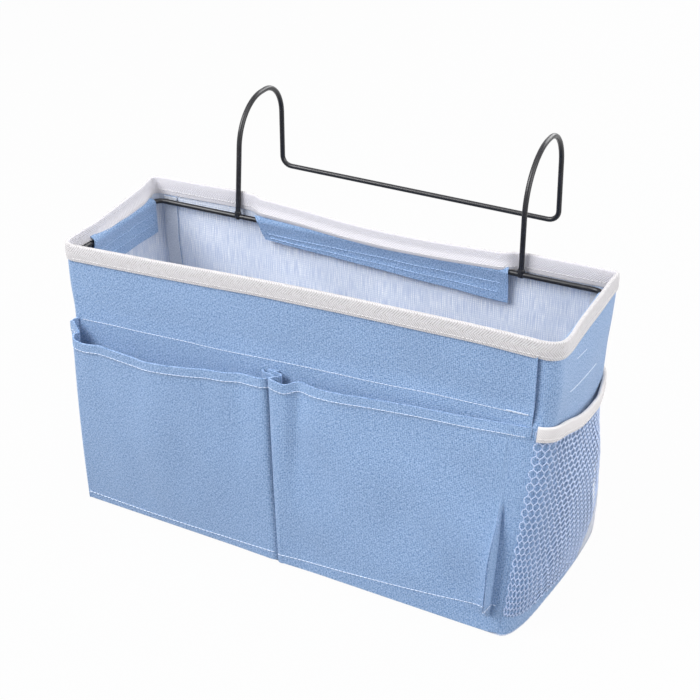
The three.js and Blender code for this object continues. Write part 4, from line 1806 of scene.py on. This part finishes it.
@dataclass
class BagStitching:
    """The rows of stitches on the bag itself."""

    bag: Bag
    # The row above the front pockets, by the distance along the front.
    front_row: Table = ((-176, -119, -36, 20, 110, 173.5), (160.3, 160.6, 160.6, 161.7, 164.1, 165.8))
    # The two rows of a fastening strip on the left and back walls.
    strip_rows: tuple[float, float] = (181.0, 197.0)
    # The rim tape's rows: distance off the wall's outside, and height over the rim's top edge.
    rim_rows: Pairs = ((1.2, -10.8), (-2.15, -10.4))

    def build(self) -> None:
        """Sews the front's row with its tack, the fastening strips' rows and the rim tape's two rows."""
        shape = self.bag.shape
        front = shape.surface(Wall.FRONT)
        s = np.linspace(0.004, 0.992, 240)
        x = -176.0 + 352.0 * s
        z = curve_through(x, self.front_row)
        tack = Stitching(pitch=1.2, share=1.1, thread=0.5, rise=0.4)
        rows = [Stitching().along(front, s, z), tack.along(front, s[-12:], z[-12:] + 0.6)]
        right = shape.surface(Wall.RIGHT)
        s = np.linspace(0.26, 0.66, 60)
        rows.append(Stitching(thread=0.32).along(right, s, 176.5 - 11.0 * (s - 0.26) / 0.40))
        s = s[10:34]
        rows.append(Stitching().along(right, s, 199.0 - 8.0 * (s - 0.26) / 0.29))
        for wall, low, high in ((Wall.LEFT, 0.22, 0.78), (Wall.BACK, 0.2, 0.8)):
            s = np.linspace(low, high, 160)
            face = shape.surface(wall)
            rows += [Stitching().along(face, s, np.full(len(s), level)) for level in self.strip_rows]
        put_piece("bag_stitches", joined(rows), (SEWING_THREAD,))
        rows, level = [], np.ones(sum(self.bag.rim_points))
        fine = Stitching(pitch=3.0, share=0.75, thread=0.24, rise=0.12)
        for out, height in self.rim_rows:
            lines = [self.bag.rim_place(off * level, height * level) for off in (out, out + np.sign(out))]
            spots, ahead = (np.concatenate([line, line[:1]]) for line in lines)
            rows.append(fine.row(spots, unit(ahead - spots)))
        put_piece("rim_tape_stitches", joined(rows), (TAPE_THREAD,))


# The studio


@dataclass
class Studio:
    """A pale floor, soft light from all round, four lamps and the camera."""

    azimuth: float = 25.9
    elevation: float = 29.4
    distance: float = 1070.5
    lens: float = 75.1
    target: tuple[float, float, float] = (13.2, 0.0, 146.0)
    floor_half: float = 6000.0
    # The floor lies just under the base.
    floor_z: float = -0.3
    # The light from all round, as a share of white, and the white that is mixed into the floor that is seen.
    air: float = 0.34
    floor_white: float = 0.97
    # Where the lamps look, in metres.
    lit_spot: tuple[float, float, float] = (0.0, 0.0, 0.12)
    # Each lamp's name, place in mm, power in watts and side in mm.
    lamps: tuple[tuple[str, Row, float, float], ...] = (
        ("key_lamp", (-1050.0, -1150.0, 1550.0), 52.0, 1200.0),
        ("fill_lamp", (1600.0, -200.0, 900.0), 22.0, 1300.0),
        ("top_lamp", (100.0, -300.0, 1800.0), 8.0, 1200.0),
        ("back_lamp", (500.0, 1700.0, 1100.0), 24.0, 1300.0),
    )

    def floor(self) -> None:
        """Lays the floor: pale and lit like the object, but all but white to the camera and to a gloss."""
        half, z = self.floor_half, self.floor_z
        mesh = bpy.data.meshes.new("studio_floor")
        corners = np.array([(-half, -half, z), (half, -half, z), (half, half, z), (-half, half, z)])
        mesh.from_pydata((corners * MM).tolist(), [], [(0, 1, 2, 3)])
        add_object("studio_floor", mesh)
        # White board that bounces a soft grey light on to the cloth and looks like empty paper.
        material = bpy.data.materials.new("painted_board_white")
        tree = emptied_tree(material)
        bench = NodeBench(tree)
        paint = add_node(tree, "BsdfDiffuse", {"Color": linear("#A0A0A4")})
        glow = add_node(tree, "Emission", {"Color": linear("#FFFFFF"), "Strength": 1.0})
        share = bench.maths("MULTIPLY", bench.seen(), self.floor_white)
        mixed = add_node(tree, "MixShader", {0: share, 1: paint.outputs[0], 2: glow.outputs[0]})
        add_node(tree, "OutputMaterial", {"Surface": mixed.outputs[0]})
        mesh.materials.append(material)

    def world(self) -> None:
        """Surrounds the scene with soft light that the camera and gloss see as white."""
        world = bpy.data.worlds.new("studio_air")
        bpy.context.scene.world = world
        tree = emptied_tree(world)
        bench = NodeBench(tree)
        level = bench.ranged(bench.seen(), (self.air, 1.0))
        glow = add_node(tree, "Background", {"Color": linear("#FFFFFF"), "Strength": level})
        add_node(tree, "OutputWorld", {"Surface": glow.outputs[0]})

    def lamp(self, name: str, spot: Sequence[float], watts: float, size: float) -> None:
        """Hangs a square soft lamp that looks at the bag's middle.

        Args:
            name: The lamp's name.
            spot: Its place in mm.
            watts: Its power.
            size: Its side in mm.
        """
        data = bpy.data.lights.new(name, "AREA")
        data.energy = watts
        data.size = size * MM
        lamp = add_object(name, data)
        lamp.location = Vector(spot) * MM
        lamp.rotation_euler = (Vector(self.lit_spot) - lamp.location).to_track_quat("-Z", "Y").to_euler()

    def camera(self) -> None:
        """Sets up the camera on its angle, looking at the target."""
        data = bpy.data.cameras.new("picture_camera")
        data.lens = self.lens
        data.sensor_width = 36.0
        camera = add_object("picture_camera", data)
        turn, tip = np.radians((self.azimuth, self.elevation))
        back = Vector((np.sin(turn) * np.cos(tip), -np.cos(turn) * np.cos(tip), np.sin(tip)))
        camera.location = (Vector(self.target) + back * self.distance) * MM
        camera.rotation_euler = (np.pi / 2.0 - tip, 0.0, turn)
        bpy.context.scene.camera = camera

    def build(self) -> None:
        """Sets the whole studio up."""
        self.floor()
        self.world()
        for name, spot, watts, size in self.lamps:
            self.lamp(name, spot, watts, size)
        self.camera()
        bpy.context.scene.view_settings.view_transform = "Standard"


def main() -> None:
    """Builds the caddy from its frame outwards, and then the studio."""
    logging.basicConfig(level=logging.INFO, format="%(name)s: %(message)s")
    shape = BagShape()
    bag = Bag(shape)
    bag.build()
    WireFrame().build()
    # The back's rim is drawn in, so this flap's root ends further in, between the wall and the tape.
    drawn_in = (4.7, 4.95, 5.6, 6.1, 6.8, 7.75, 8.3, 8.15, 7.7, 7.2, 6.9)
    back = Flap("back", Wall.BACK, 9.0, 208.0, slant=(8.0, 0.0), pull_up=(11.0, 1.0), seed=4, insets=drawn_in)
    back.build()
    Flap("right", Wall.RIGHT, 6.0, 80.0, seed=5).build()
    Flap("left", Wall.LEFT, 6.0, 80.0, slant=(0.0, -9.0), pull_up=(0.5, -2.0), seed=6).build()
    FrontPocket(
        "left",
        shape,
        base_x=(
            -180.5, -181.0, -180.6, -179.6, -180.4, -180.3, -176, -150, -132, -118, -100,
            -80, -60, -40, -20, -11.0, -6.6, -8, -13, -16,
        ),
        mouth_x=(
            -182.5, -186.0, -180.0, -175.5, -176.5, -173.5, -168, -150, -132, -118, -100,
            -80, -60, -40, -25, -17, -12.4, -15.5, -22.5, -24.5,
        ),
        base_depth=(-0.8, 0.2, 0.9, 1.3, 1.7, 2.1, 2, 2, 2, 2, 2, 2, 2, 2.2, 2.6, 2.6, 0.4, 0.3, 0.2, 0.1),
        mouth_depth=(
            0.6, 4.8, 8.0, 10.0, 14.5, 19.5, 20.2, 20, 20.5, 21.6, 20.6,
            19, 17.5, 15.2, 14.0, 12.8, 6.4, 5.0, 3.2, 0.7,
        ),
        mouth_height=(
            (-187, -182.5, -177, -173, -150, -132, -118, -100, -80, -60, -40, -15),
            (155, 157.5, 152.5, 150.8, 150.4, 149.3, 147.6, 148.6, 150, 151.6, 153, 154),
        ),
        creases=((-120.0, 9.0, 1.6, 0.55), (-62.0, 9.0, 1.8, 0.3), (-36.0, 8.0, 1.5, 0.35)),
        tuck=(0.0,) * 20,
        foot_row=((-180, -120, -60, -8), (8.5, 7.4, 7.9, 9.4)),
        seed=31,
        foot_span=(0.13, 0.925),
    ).build()
    FrontPocket(
        "right",
        shape,
        base_x=(
            -9, -12, -4, -5.6, -6.2, -5.2, -1, 9, 25, 45, 70,
            95, 120, 140, 152, 158.0, 160.6, 161.4, 163.4, 166, 169.0,
        ),
        mouth_x=(
            -11.5, -19.5, -7.5, -12.6, -13.2, -12.2, -2, 9, 25, 45, 70,
            95, 120, 140, 152, 159.5, 162.7, 163.2, 166, 171, 176.3,
        ),
        base_depth=(
            0.3, 0.6, 1.0, 2.6, 3.2, 3.5, 3.2, 2.8, 2.4, 2.4, 2.4,
            2.4, 2.4, 2.4, 2.3, 2.2, 2.1, 2.0, 1.7, 1.1, 0.1,
        ),
        mouth_depth=(
            0.6, 3.0, 5.2, 12.3, 13.3, 13.9, 14.4, 10.8, 10.4, 9.6, 8.0,
            6.4, 4.7, 3.2, 2.4, 2.0, 1.8, 1.7, 1.5, 0.9, 0.1,
        ),
        mouth_height=(
            (-20, -10, 0, 9, 25, 60, 110, 150, 177),
            (156, 155.5, 153.8, 155.2, 154.5, 156, 158, 159, 159.6),
        ),
        creases=((8.0, 6.0, 2.6, 0.35), (60.0, 16.0, 0.8, 0.5)),
        tuck=(0.0,) * 14 + (1.6, 4.2, 6.0, -1.6, -1.8, -0.9, 0.0),
        foot_row=((-8, 10, 60, 100, 140, 160, 170), (9.2, 9.8, 12.5, 15.5, 18.8, 21.2, 22.5)),
        seed=37,
    ).build()
    NetPocket("right", Wall.RIGHT, shape).build()
    NetPocket("left", Wall.LEFT, shape, bulge=11.0, set_back=0.18).build()
    BagStitching(bag).build()
    Studio().build()


if __name__ == "__main__":
    main()
